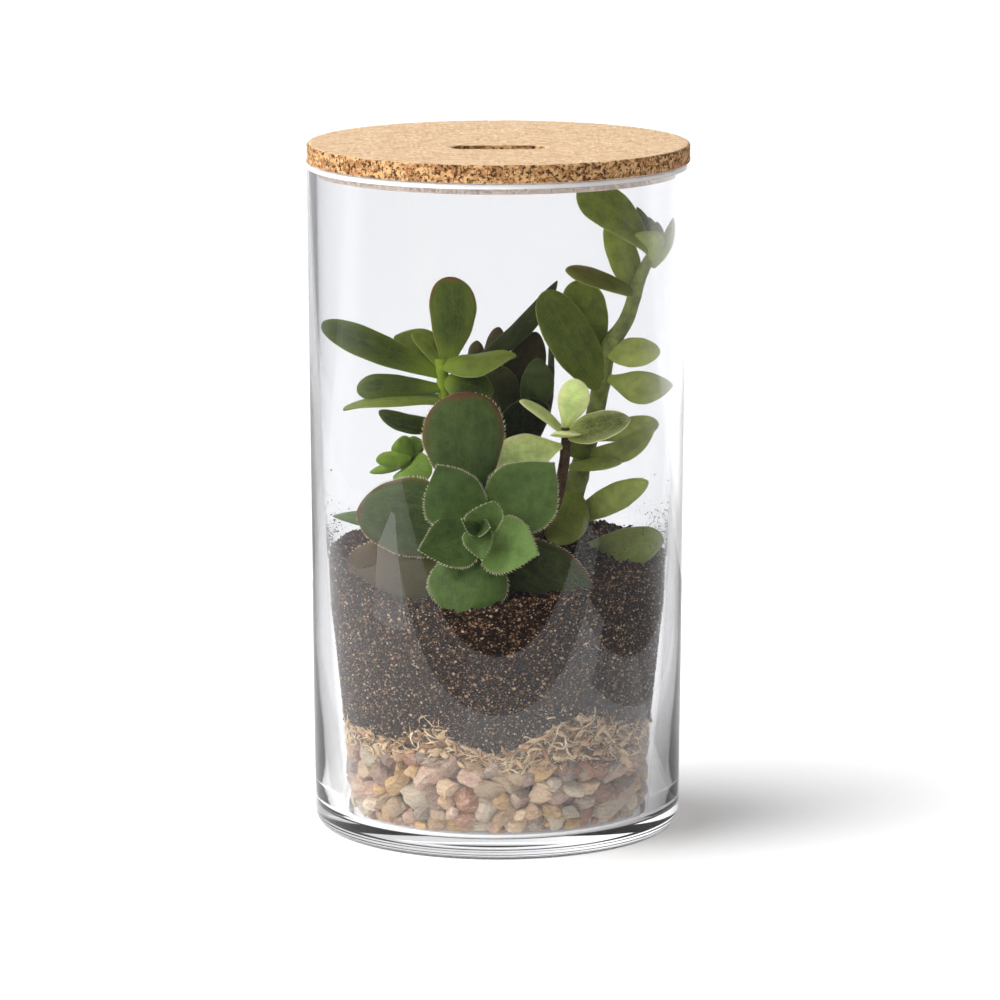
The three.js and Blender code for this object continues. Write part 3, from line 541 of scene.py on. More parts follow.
soil = {
    "crown": 76, "edgeRadius": 45, "seed": 12,
    # top of the soil along the glass, by degrees from the front
    "rimTurns": (-180, -75, -60, -42, -12, 4, 22, 48, 70, 180),
    "rimHeights": (74, 75, 74, 66.2, 65.4, 67.8, 68.8, 71, 75, 74),
    "crumbs": 12500, "crumbSizes": (0.13, 0.36),
    "lumps": 2400, "lumpSizes": (0.2, 0.7), "lumpReach": 43.5,
    "dust": 900, "dustSizes": (0.09, 0.26), "dustTop": 96,
    # black, umber, brown, tan, straw, cream
    "grainTones": ((0.0, (0.007, 0.004, 0.0025)), (0.42, (0.028, 0.014, 0.008)),
                   (0.66, (0.085, 0.040, 0.018)), (0.83, (0.23, 0.125, 0.062)),
                   (0.94, (0.44, 0.29, 0.17)), (1.0, (0.68, 0.50, 0.34))),
    # the earth between the grains, and the grains' widths, each with the share of them left out
    "earth": ((0.006, 0.0035, 0.0025), (0.036, 0.019, 0.011)),
    "grains": ((0.52, 0.0), (0.95, 0.62)),
}


def soilHeight(x, y):
    # a crown that eases out to the height along the glass, plus two sets of crossing waves
    rim = np.interp(frontTurn(x, y), soil["rimTurns"], soil["rimHeights"])
    out = smoothstep(18, 38, np.hypot(x, y))
    lumps = 0.5 * np.sin(0.42 * x + 1) * np.cos(0.37 * y) + 0.3 * np.sin(0.9 * x - 0.8 * y)
    return soil["crown"] + (rim - soil["crown"]) * out + lumps * (1 - 0.5 * out)


def soilEdge(angle):
    # top of the soil against the glass
    return soilHeight(soil["edgeRadius"] * np.cos(angle), soil["edgeRadius"] * np.sin(angle))


# Gravel

gravel = {
    "seed": 7, "coreRadius": 36.8, "bedTop": 26.6, "unrolledAt": 39,
    # stones against the glass, stones behind them, and chips along the floor
    "front": {"count": 250, "sizes": (1.8, 3.7), "inset": 0},
    "behind": {"count": 120, "sizes": (2.6, 3.4), "inset": 2.6},
    "chips": {"count": 90, "sizes": (1.2, 1.7), "inset": 0.6, "top": 8.5},
    # small, middling and large, and the share of each
    "grades": (0.8, 1.0, 1.25), "gradeShares": (0.4, 0.35, 0.25),
    # tan, ochre, pale tan, rose, grey beige, brick, cream
    "colours": ((0.52, 0.31, 0.16), (0.60, 0.36, 0.13), (0.66, 0.46, 0.27), (0.50, 0.31, 0.22),
                (0.41, 0.31, 0.25), (0.37, 0.15, 0.075), (0.70, 0.57, 0.41)),
}


def stoneShapes(count, rng, planes=8, sharpness=26):
    # distance from the middle: the smooth least of the distances to random cutting planes
    directions, quads = sphereCells(5)
    normals = unit(rng.normal(size=(count, planes, 3)))
    depth = rng.uniform(0.62, 1.02, (count, planes, 1))
    reach = np.clip(normals @ directions.T, 0, None) / depth
    radius = ((reach ** sharpness).sum(1) + 1.35 ** -sharpness) ** (-1 / sharpness)
    return directions * radius[..., None], quads


def spreadDiscs(rng, sizes, low, high, length, rounds=150):
    # places on the unrolled wall: discs that push each other apart until they fit
    along = rng.uniform(0, length, len(sizes))
    up = rng.uniform(low, high, len(sizes))
    for _ in range(rounds):
        dx = (along[:, None] - along + length / 2) % length - length / 2
        dz = up[:, None] - up
        gap = np.hypot(dx, dz) + 1e-6
        push = np.clip((sizes[:, None] + sizes) * 0.93 - gap, 0, None) * (gap > 1e-5) * 0.22
        along = (along + (push * dx / gap).sum(1)) % length
        up = np.clip(up + (push * dz / gap).sum(1), low + sizes * 0.55, high - sizes * 0.55)
    return along / length * 2 * np.pi, up


def layStones(rng, count, sizes, inset, top=gravel["bedTop"]):
    # stones packed as discs on the unrolled wall, shaped at angle 0 and turned round to their own
    floor = jar["floorHeight"]
    sizes = rng.uniform(*sizes, count) * rng.choice(gravel["grades"], count, p=gravel["gradeShares"])
    angle, height = spreadDiscs(rng, sizes, floor + 0.4, top, 2 * np.pi * gravel["unrolledAt"])
    height = np.minimum(height, gravelTop(angle) - sizes * 0.6 + 0.8)
    shapes, quads = stoneShapes(count, rng)
    # each is flattened a little, tipped, and stretched along its own way
    shares = [rng.uniform(*limits, count) for limits in ((0.75, 1), (0.95, 1.3), (0.75, 1.0))]
    shapes = shapes * (np.stack(shares, -1) * sizes[:, None])[:, None]
    spin = rng.uniform(-0.9, 0.9, count)
    axis = unit(rng.normal(size=(count, 3)))
    shapes = turnEach(shapes, (1, 0, 0), spin)
    shapes = turnEach(shapes, axis, rng.uniform(-0.5, 0.5, count))
    lowest = shapes[..., 2].min(1)
    height = np.maximum(height, floor + 0.35 - lowest)
    # pushed out until the outermost point rests on the glass, less near the rounded floor
    wall = fillRadius(height - sizes * 0.3) - inset
    wall -= np.clip(9 - (height + lowest), 0, 4) * 0.12
    outermost = (shapes[..., 0] + shapes[..., 1] ** 2 / 80).max(1)
    shapes = shapes + np.stack([wall - outermost, np.zeros(count), height], -1)[:, None]
    points = turnEach(shapes, (0, 0, 1), angle)
    points[..., 2] = np.maximum(points[..., 2], floor + clearance)
    return copies(points, quads, stone=rng.uniform(0, 1, count), tone=rng.uniform(0, 1, count))


def gravelFinish():
    f = newFinish("washedGravel")
    stone = f.value("stone")
    tone = f.value("tone")
    colours = gravel["colours"]
    base = f.ramp([(k / len(colours), colour) for k, colour in enumerate(colours)], stone)
    base.socket.node.color_ramp.interpolation = "CONSTANT"
    # no two stones share the same part of the pattern
    spot = f.shifted(f.place(), stone * 37.0, tone * 53.0, stone * 11.0)
    layered = f.add("Mapping", Vector=spot, Scale=(1, 1, 2.6), Rotation=(0.5, 0.4, 0.9))
    veins = f.noise(layered, 0.45, 4.0, 0.6)
    grain = f.noise(spot, 3.2, 3.0, 0.7)
    quartz = f.noise(spot, 0.8, 4.0, 0.65)
    colour = f.mix(veins.smooth(0.45, 0.72) * 0.6, base, (0.66, 0.54, 0.40))
    colour = f.mix(veins.smooth(0.52, 0.3) * 0.6, colour, (0.32, 0.16, 0.08))
    colour = f.mix(quartz.smooth(0.56, 0.68) * 0.5, colour, (0.80, 0.72, 0.60))
    colour = f.mix(grain.smooth(0.54, 0.70) * 0.65, colour, (0.12, 0.07, 0.045))
    colour = f.mix(grain.smooth(0.44, 0.32) * 0.4, colour, (0.78, 0.66, 0.52))
    relief = veins * 0.9 + grain * 0.7 + quartz * 0.6
    return f.skin(f.tint(colour, 0.62 + tone * 0.58), 0.62, 0.4, Normal=f.bump(relief, 0.4, 0.85))


def gravelCore():
    # the bed behind the stones, coloured nearly black as painted shade between them: rings at shares of its
    # height
    angle = around(180)
    low = jar["floorHeight"] + clearance
    shares = np.array([0, 0.12, 0.5, 0.93, 1.0])[:, None]
    radii = gravel["coreRadius"] + np.array([-4, 0, 0.5, 0, -5])[:, None]
    grid = onCircle(radii, angle, low + (gravelTop(angle) - 0.6 - low) * shares)
    grid[1:4, :, :2] *= 1 + 0.012 * ripple(grid[1:4], 3, 8)[..., None]
    points, faces = polarBody(low, grid, 24)
    # painted shade: a tone of -0.85 darkens the whole bed
    return points, faces, {"stone": np.full(len(points), 0.62), "tone": np.full(len(points), -0.85)}


def makeGravel():
    rng = np.random.default_rng(gravel["seed"])
    front, behind, chips = (layStones(rng, **gravel[layer]) for layer in ("front", "behind", "chips"))
    # painted shade: the stones behind the front row are darkened
    behind[2]["tone"] = behind[2]["tone"] * 0.7 - 0.4
    points, faces, attributes = gather([front, behind, chips, gravelCore()])
    piece = newPiece("gravelBed", points, faces, gravelFinish(), attributes, smooth=False)
    dress(piece, "gravel", "gravel_bed")
    print("gravel laid:", gravel["front"]["count"] + gravel["behind"]["count"], "stones")


# Plant fibre

fibre = {
    "seed": 21, "steps": 9, "unrolledAt": 41,
    # heaps in front: middle and spread in degrees, and the share of the fibre that lies in them
    "heaps": ((-27, 13), (-55, 14), (36, 17), (62, 12), (14, 9)), "heaped": 0.42,
    "strands": {"count": 1250, "lengths": (2.5, 8), "widths": (0.2, 0.7)},
    "flakes": {"count": 640, "lengths": (2.5, 7.5), "widths": (0.8, 2.5)},
    # a few stand up against the glass
    "wisps": {"count": 26, "lengths": (4, 8), "widths": (0.3, 0.7), "rise": 1.3, "lift": 3.5, "over": 6.4,
              "deep": 0.2, "heaps": ((-26, 4), (32, 10)), "heaped": 1},
    "tones": ((0.0, (0.07, 0.033, 0.016)), (0.22, (0.25, 0.12, 0.055)), (0.45, (0.50, 0.30, 0.15)),
              (0.75, (0.76, 0.57, 0.34)), (1.0, (0.90, 0.77, 0.56))),
}


def fibreFinish():
    f = newFinish("woodWool")
    grain = f.noise(f.place(), 2.4, 3.0)
    patch = f.noise(f.place(), 0.35, 2.0)
    base = f.ramp(fibre["tones"], f.value("tone"))
    colour = f.mix(patch.smooth(0.52, 0.66) * 0.55, base, (0.42, 0.16, 0.05))
    colour = f.tint(colour, 0.5 + grain * 0.95)
    colour = f.mix(f.value("along").smooth(0.75, 1.0) * 0.3, colour, (0.86, 0.74, 0.5))
    return f.skin(colour, 0.7, 0.3, Normal=f.bump(grain, 0.15, 0.5))


def layStrands(rng, count, lengths, widths, rise=0, lift=0, over=2.4, deep=2.6,
               heaps=fibre["heaps"], heaped=fibre["heaped"]):
    # each strand is a bent ribbon on the unrolled wall, wrapped back onto the glass
    angle = rng.uniform(0, 2 * np.pi, count)
    middles, spreads = np.transpose(heaps)
    pick = rng.integers(0, len(middles), count)
    inHeap = np.radians(rng.normal(middles[pick], spreads[pick]) - 90)
    angle = np.where(rng.uniform(0, 1, count) < heaped, inHeap, angle)[:, None]
    low = gravelTop(angle)
    high = fibreTop(angle)
    middle = low - 1 + (high - low + 1.5) * rng.beta(1.5, 1.2, (count, 1)) + lift
    length = rng.uniform(*lengths, (count, 1))
    slope = rng.normal(0, 0.6, (count, 1)) + rise
    bend = rng.normal(0, 0.5, (count, 1))
    curl = rng.normal(0, 0.5, (count, 1))
    t = np.linspace(-0.5, 0.5, fibre["steps"])
    heading = slope + bend * t * 2.4 + curl * np.sin(6 * t + angle * 9)
    step = length / (fibre["steps"] - 1)
    flip = rng.choice([-1, 1], (count, 1))
    across = np.cumsum(np.cos(heading) * step, 1) * flip
    z = np.cumsum(np.sin(heading) * step, 1)
    z = np.clip(z - z.mean(1, keepdims=True) + middle, low - 3, high + over)
    depth = 0.6 + deep * rng.uniform(0, 1, (count, 1)) ** 1.6 + 0.35 * np.sin(5 * t + angle * 7)
    turn = angle + (across - across.mean(1, keepdims=True)) / fibre["unrolledAt"]
    path = onCircle(fillRadius(z) - depth, turn, z)
    tangent = unit(np.gradient(path, axis=1))
    flat = unit(np.cross(onCircle(1, turn, 0), tangent))
    face = np.cross(tangent, flat)
    twist = (rng.uniform(-0.9, 0.9, (count, 1)) + rng.normal(0, 1.2, (count, 1)) * t)[..., None]
    side = flat * np.cos(twist) + face * np.sin(twist)
    face = face * np.cos(twist) - flat * np.sin(twist)
    taper = (np.clip(1.15 - np.abs(t) * 2, 0.2, 1) ** 0.6)[:, None]
    wide = rng.uniform(*widths, (count, 1, 1)) * taper / 2
    thin = np.minimum(wide * 0.45, 0.13)
    corners = np.stack([side * wide, face * thin, -side * wide, -face * thin], 2)
    # painted shade: strands lying deeper behind the glass are darker
    tone = np.clip(rng.beta(2.2, 1.1, count) - 0.12 * (depth.mean(1) > 2.4), 0, 1)
    shape = (count, fibre["steps"], 4)
    points, faces = closedTubes(path[:, :, None] + corners)
    values = {"tone": tubeValues(np.broadcast_to(tone[:, None, None], shape)),
              "along": tubeValues(np.broadcast_to(np.abs(t * 2)[:, None], shape))}
    return points, faces, values


def fibrePad():
    # the mat behind the strands, coloured dark as painted shade between them: rings at shares of its height,
    # set in from the glass
    angle = around(240)
    low = gravelTop(angle) + 0.2
    high = fibreTop(angle) - 0.5
    z = low + (high - low) * np.array([0, 0.08, 0.3, 0.55, 0.8, 0.95, 1.0])[:, None]
    inset = np.array([9, 3.0, 2.6, 2.5, 2.7, 3.2, 9])[:, None]
    grid = onCircle(fillRadius(z) - inset, angle, z)
    grid[1:6, :, :2] *= 1 + 0.02 * ripple(grid[1:6], 2.2, 9)[..., None]
    points, faces = polarBody(25, grid, 35)
    # painted shade: a tone of 0.2 keeps the mat dark
    return points, faces, {"tone": np.full(len(points), 0.2), "along": np.zeros(len(points))}


def makeFibre():
    rng = np.random.default_rng(fibre["seed"])
    strands, flakes, wisps = (layStrands(rng, **fibre[kind]) for kind in ("strands", "flakes", "wisps"))
    # painted shade: the flakes are darkened for the shadows among them
    flakes[2]["tone"] = flakes[2]["tone"] * 0.72
    points, faces, attributes = gather([strands, flakes, wisps, fibrePad()])
    dress(newPiece("fibreLayer", points, faces, fibreFinish(), attributes), "plant_fibre", "fibre_layer")
    print("fibre laid:", fibre["strands"]["count"], "strands")


# Potting soil

def soilFinish():
    f = newFinish("pottingSoil")
    crumb = f.noise(f.place(), 2.2, 4.0, 0.75)
    colour = f.mix(crumb.smooth(0.4, 0.7), *soil["earth"])
    # each cell is a grain with a tone of its own, with dark gaps between them
    for size, rarity in soil["grains"]:
        stretched = f.place((1, 1, 1.3), (0.3 * size, 0.7, 1.1 * size))
        own = f.chance(stretched, 1 / size)
        grain = f.cells(stretched, 1 / size).smooth(0.62, 0.36) * own.beside(1).above(rarity)
        colour = f.mix(grain, colour, f.ramp(soil["grainTones"], own))
    relief = f.cells(f.place(), 1.9) * 0.6 + crumb
    return f.skin(colour, 0.92, 0.2, Normal=f.bump(relief, 0.5, 0.9))


def crumbFinish():
    f = newFinish("soilCrumbs")
    grain = f.noise(f.place(), 3.0, 2.0)
    colour = f.tint(f.ramp(soil["grainTones"], f.value("tone")), 0.7 + grain * 0.6)
    return f.skin(colour, 0.88, 0.25, Normal=f.bump(grain, 0.12, 0.6))


def soilBody():
    # rows run from the underside up the glass and in over the top
    angle = around(480)
    low = fibreTop(angle)
    shares = np.linspace(0, 1, 64)[:, None]
    z = low + (soilEdge(angle) - 0.6 - low) * shares
    wall = np.concatenate([[onCircle(30, angle, low + 0.2)], onCircle(fillRadius(z) - 0.5, angle, z)])
    inward = np.concatenate([np.linspace(44.6, 36, 16), np.linspace(35, 2, 34)])[:, None]
    top = onCircle(inward, angle, 0.0)
    top[..., 2] = soilHeight(top[..., 0], top[..., 1]) - 0.5 * (inward > soil["lumpReach"])
    grid = np.concatenate([wall, top])
    lumps = 0.4 * ripple(grid, 2.6, 14) + 0.35 * ripple(grid, 1.2, 15)
    onWall = np.arange(len(grid)) < len(wall)
    grid[onWall, :, :2] *= 1 + np.clip(lumps[onWall], -2, 0.9)[..., None] * 0.4 / soil["edgeRadius"]
    grid[~onWall, :, 2] += lumps[~onWall] * 0.9
    return polarBody(36, grid, float(soilHeight(0.0, 0.0)))


def scatter(rng, middles, sizes, tones):
    # small lumps with few faces, each squeezed and turned its own way
    count = len(middles)
    directions, quads = sphereCells(1)
    squeeze = rng.uniform(0.55, 1.25, (count, 1, 3))
    jitter = 1 + rng.uniform(-0.3, 0.3, (count, len(directions), 1))
    axis = unit(rng.normal(size=(count, 3)))
    shapes = turnEach(directions * squeeze * jitter, axis, rng.uniform(0, np.pi, count))
    return copies(shapes * sizes[:, None, None] + middles[:, None], quads, tone=tones)


def wallCrumbs(rng):
    # grains against the glass
    count = soil["crumbs"]
    angle = rng.uniform(0, 2 * np.pi, count)
    z = fibreTop(angle) + (soilEdge(angle) - fibreTop(angle)) * rng.uniform(0.02, 1.0, count)
    sizes = rng.uniform(*soil["crumbSizes"], count)
    middles = onCircle(fillRadius(z) - 0.1 - sizes, angle, z)
    return scatter(rng, middles, sizes, rng.uniform(0.1, 1, count) ** 1.3)


def topLumps(rng):
    # spread evenly over the top, as a square root of chance gives the radius
    count = soil["lumps"]
    r = soil["lumpReach"] * np.sqrt(rng.uniform(0.02, 1, count))
    middles = onCircle(r, rng.uniform(0, 2 * np.pi, count), 0.0)
    middles[:, 2] = soilHeight(middles[:, 0], middles[:, 1]) + 0.15
    return scatter(rng, middles, rng.uniform(*soil["lumpSizes"], count), rng.uniform(0, 0.85, count))


def glassDust(rng):
    # dust that stuck to the glass above the soil, thick at the left and right
    count = soil["dust"]
    atLeft = rng.uniform(0, 1, count) < 0.55
    turn = np.where(atLeft, rng.normal(-68, 13, count), rng.normal(76, 22, count))
    angle = np.radians(turn - 90)
    height = np.minimum(soilEdge(angle) + rng.exponential(4.2, count), soil["dustTop"])
    sizes = rng.uniform(*soil["dustSizes"], count)
    middles = onCircle(wallRadius(height) - 0.2 - sizes * 0.6, angle, height)
    return scatter(rng, middles, sizes, rng.uniform(0, 0.5, count))


def makeSoil():
    points, faces = soilBody()
    dress(newPiece("pottingSoil", points, faces, soilFinish()), "soil", "potting_soil")
    rng = np.random.default_rng(soil["seed"])
    points, faces, attributes = gather([wallCrumbs(rng), topLumps(rng), glassDust(rng)])
    dress(newPiece("soilCrumbs", points, faces, crumbFinish(), attributes, smooth=False), "soil")
    print("soil filled")


# Leaves and stems

# where a blade is widest, how wide its foot is, how quickly it swells and how blunt it ends
kinds = {
    "petal": {"widest": 0.42, "foot": 0.42, "swell": 0.75, "end": 1.15},
    "spoon": {"widest": 0.68, "foot": 0.2, "swell": 1.25, "end": 0.5},
    "club": {"widest": 0.8, "foot": 0.36, "swell": 1.6, "end": 0.5},
    "round": {"widest": 0.55, "foot": 0.36, "swell": 0.8, "end": 0.6},
    "oval": {"widest": 0.52, "foot": 0.28, "swell": 0.75, "end": 0.6},
    "lance": {"widest": 0.5, "foot": 0.4, "swell": 0.8, "end": 0.75},
    "strap": {"widest": 0.62, "foot": 0.36, "swell": 1.2, "end": 0.5},
}
# what a leaf has unless it says otherwise: bends in millimetres, then shares of its colours
plainLeaf = {"bow": 0, "cup": 0, "sweep": 0, "skew": 0, "wave": 0, "thick": 1.8,
             "tone": 0.5, "blush": 0, "bronze": 0}
leafEdge = 0.6  # thickness of a leaf near its margin
grooveDepth = 0.22


def leaf(kind, base, tip, width, face, **own):
    # foot, tip and greatest width in millimetres, the way its upper side faces, and what is its own
    return {**plainLeaf, **kinds[kind], "kind": kind, "base": base, "tip": tip, "width": width,
            "face": face, **own}


def outlineWidth(blade, along):
    # width as a share of the greatest: a sine rise to the widest place, then an elliptic end
    widest = blade["widest"]
    rising = np.sin(np.pi / 2 * np.clip(along / widest, 0, 1)) ** blade["swell"]
    past = np.clip((along - widest) / (1 - widest), 0, 1)
    return np.where(along < widest, blade["foot"] + (1 - blade["foot"]) * rising,
                    (1 - past * past) ** blade["end"])


def leafSurface(blade, along, turn):
    # a closed blade: along runs from foot to tip, turn goes round its section, 0 at its + side
    base = np.array(blade["base"], float)
    axis = np.array(blade["tip"], float) - base
    length = np.linalg.norm(axis)
    axis /= length
    face = np.array(blade["face"], float)
    face = unit(face - face @ axis * axis)
    side = np.cross(face, axis)
    v = np.cos(turn)
    up = np.sin(turn)
    shape = outlineWidth(blade, along)
    half = np.maximum(shape * blade["width"] / 2, 0.04)
    arch = 4 * along * (1 - along)
    # half a width across and half a thickness up or down, plus bends; each leaf waves in its own way
    seed = int(abs(blade["tip"][0] * 31 + blade["tip"][2] * 17)) % 997
    wobble = 1 + 0.018 * np.sin(9 * along + seed) + 0.012 * np.sin(23 * along + 2 * seed)
    across = v * half * wobble * (1 + blade["skew"] * v * 0.9) + blade["sweep"] * arch
    lift = blade["bow"] * arch + (blade["cup"] * half + blade["wave"] * np.sin(7 * along + 1)) * v * v
    lift += 0.22 * np.sin(5 * along + 2.4 * v + seed) * (0.3 + v * v) * np.minimum(half / 6, 1)
    fade = np.clip(half / 0.7, 0.1, 1) ** 0.5
    swelling = (blade["thick"] - leafEdge) * np.maximum(shape, 0.35) * up * up
    rounded = leafEdge * np.abs(up) ** 0.6 + swelling
    groove = grooveDepth * hump(v, 0, 0.16) * (up > 0) * np.sin(np.pi * np.clip(along, 0, 1)) ** 0.5
    height = lift + (np.sign(up) * rounded / 2 - groove) * fade
    return base + axis * (along * length)[..., None] + side * across[..., None] + face * height[..., None]


def leafBlade(blade, rings=30, sides=28):
    # rings closer together near foot and tip, placed by a cosine
    along = (0.5 - 0.5 * np.cos(np.pi * np.linspace(0, 1, rings))) * 0.997
    a, turn = np.meshgrid(along, around(sides), indexing="ij")
    points, faces = closedTubes(leafSurface(blade, a, turn)[None])
    values = {"along": a, "across": np.cos(turn), "upper": np.where(np.sin(turn) >= -0.05, 1.0, 0.0),
              "stem": np.zeros_like(a)}
    values.update({key: np.full_like(a, blade[key]) for key in ("tone", "blush", "bronze")})
    return points, faces, {key: tubeValues(x[None]) for key, x in values.items()}


def smoothPath(points, count):
    # a smooth curve through all the points: each stretch is a cubic worked out from the four nearest
    p = np.array(points, float)
    p = np.concatenate([[2 * p[0] - p[1]], p, [2 * p[-1] - p[-2]]])
    t = np.linspace(0, len(points) - 1, count)
    k = np.minimum(t.astype(int), len(points) - 2)
    f = (t - k)[:, None]
    a, b, c, d = (p[k + step] for step in range(4))
    bend = (2 * a - 5 * b + 4 * c - d) * f ** 2
    return 0.5 * (2 * b + (c - a) * f + bend + (3 * b - a - 3 * c + d) * f ** 3)


def stemTube(stem, count=60, sides=16):
    # rings along the path; the old leaf joints swell it a little
    path = smoothPath(stem["points"], count)
    radii = np.interp(np.linspace(0, 1, count), np.linspace(0, 1, len(stem["radii"])), stem["radii"])
    travelled = np.concatenate([[0], np.cumsum(np.linalg.norm(np.diff(path, axis=0), axis=1))])[:, None]
    swelling = 1 + 0.09 * np.maximum(np.cos(travelled * 2 * np.pi / stem.get("joint", 6.5)), 0) ** 6
    tangent = unit(np.gradient(path, axis=0))
    side = unit(np.cross([0, -1.0, 0.01], tangent))
    face = np.cross(tangent, side)
    turn = around(sides)
    ring = side[:, None] * np.cos(turn)[:, None] + face[:, None] * np.sin(turn)[:, None]
    radius = radii[:, None] * swelling * (1 + 0.04 * np.sin(3 * turn + travelled * 0.4))
    points, faces = closedTubes((path[:, None] + ring * radius[..., None])[None])
    none = np.zeros((1, count, sides))
    values = {"along": none + travelled / travelled[-1], "across": none, "upper": none + 1,
              "tone": none + 0.5, "blush": none, "bronze": none, "stem": none + 1}
    return points, faces, {key: tubeValues(x) for key, x in values.items()}


# how strongly a leaf's finish shows its foot, rim, margin and veins, unless a plant's look says otherwise
plainLook = {
    "footShare": 0.45, "rimFrom": 0.55, "rimShare": 0.35, "marginShare": 0.6, "veins": 0.10,
    "streaks": 0.14, "roughness": 0.42, "glow": 0.12, "bronze": (0.10, 0.055, 0.03),
}


def leafFinish(name, look):
    f = newFinish(name)
    look = {**plainLook, **look}
    along, across, upper, stem, tone, blush, bronze = (
        f.value(key) for key in ("along", "across", "upper", "stem", "tone", "blush", "bronze"))
    mottle = f.noise(f.place(), 0.3, 4.0, 0.6)
    pores = f.noise(f.place(), 4.5, 2.0, 0.6)
    # a fine net of veins: the edges of cells laid along the blade
    laid = f.add("CombineXYZ", X=across * 3.2 + tone * 17.0, Y=along * 8.0 + mottle * 2.0, Z=tone * 9.0)
    veins = f.cells(laid, 1.0, feature="DISTANCE_TO_EDGE").smooth(0.10, 0.0) * (1 - stem)
    drawn = f.add("CombineXYZ", X=across * 7.0 + tone * 30.0, Y=along * 1.6, Z=tone * 9.0)
    streak = f.noise(drawn, 1.0, 3.0, 0.6)
    edge = abs(across)
    colour = f.mix(tone, look["deep"], look["light"])
    colour = f.tint(colour, 0.78 + mottle.smooth(0.3, 0.7) * 0.42)
    colour = f.mix(streak.smooth(0.45, 0.75) * look["streaks"], colour, look["light"])
    colour = f.mix(veins * look["veins"], colour, look["light"])
    colour = f.mix(bronze * (0.35 + along.smooth(0.1, 0.8) * 0.65), colour, look["bronze"])
    colour = f.mix(along.smooth(0.42, 0.0) * look["footShare"], colour, look["foot"])
    colour = f.mix((1 - upper) * 0.3, colour, look["under"])
    # the rim, then the red blush, and last the thin line along the margin
    rim = edge.smooth(look["rimFrom"], 1.0).most(along.smooth(0.85, 1.0)) * look["rimShare"]
    colour = f.mix(rim * tone.smooth(-0.3, 0.5), colour, look["rim"])
    tipward = along.smooth(0.55, 1.0)
    red = edge.smooth(0.80, 1.0).most(along.smooth(0.93, 1.0)) * blush * (0.35 + tipward * 0.65)
    colour = f.mix(red, colour, look["blush"])
    line = edge.smooth(0.93, 0.985) * look["marginShare"] * (1 - stem)
    colour = f.mix(line * (1 - red), colour, look["margin"])
    colour = f.mix(stem, colour, f.mix(mottle.smooth(0.3, 0.7), look["stemDeep"], look["stemLight"]))
    colour = f.mix(pores.smooth(0.60, 0.72) * 0.22, colour, look["light"])
    colour = f.tint(colour, 0.88 + pores.smooth(0.35, 0.6) * 0.16)
    relief = pores * 0.15 + mottle * 1.2 + streak * 0.3 - veins * 0.25
    return f.skin(colour, look["roughness"] + mottle * 0.18 + stem * 0.2, 0.3, IOR=1.42,
                  Subsurface_Weight=look["glow"], Subsurface_Scale=0.0015, Subsurface_Radius=(0.6, 1.0, 0.25),
                  Normal=f.bump(relief, 0.3, 0.5))


def makePlant(name, plant):
    parts = [stemTube(stem) for stem in plant["stems"]] + [leafBlade(blade) for blade in plant["leaves"]]
    points, faces, attributes = gather(parts)
    finish = leafFinish(plant["finish"], plant["look"])
    dress(newPiece(name, points, faces, finish, attributes), plant["slot"], plant["node"])
    print(name, "grown:", len(plant["leaves"]), "leaves")


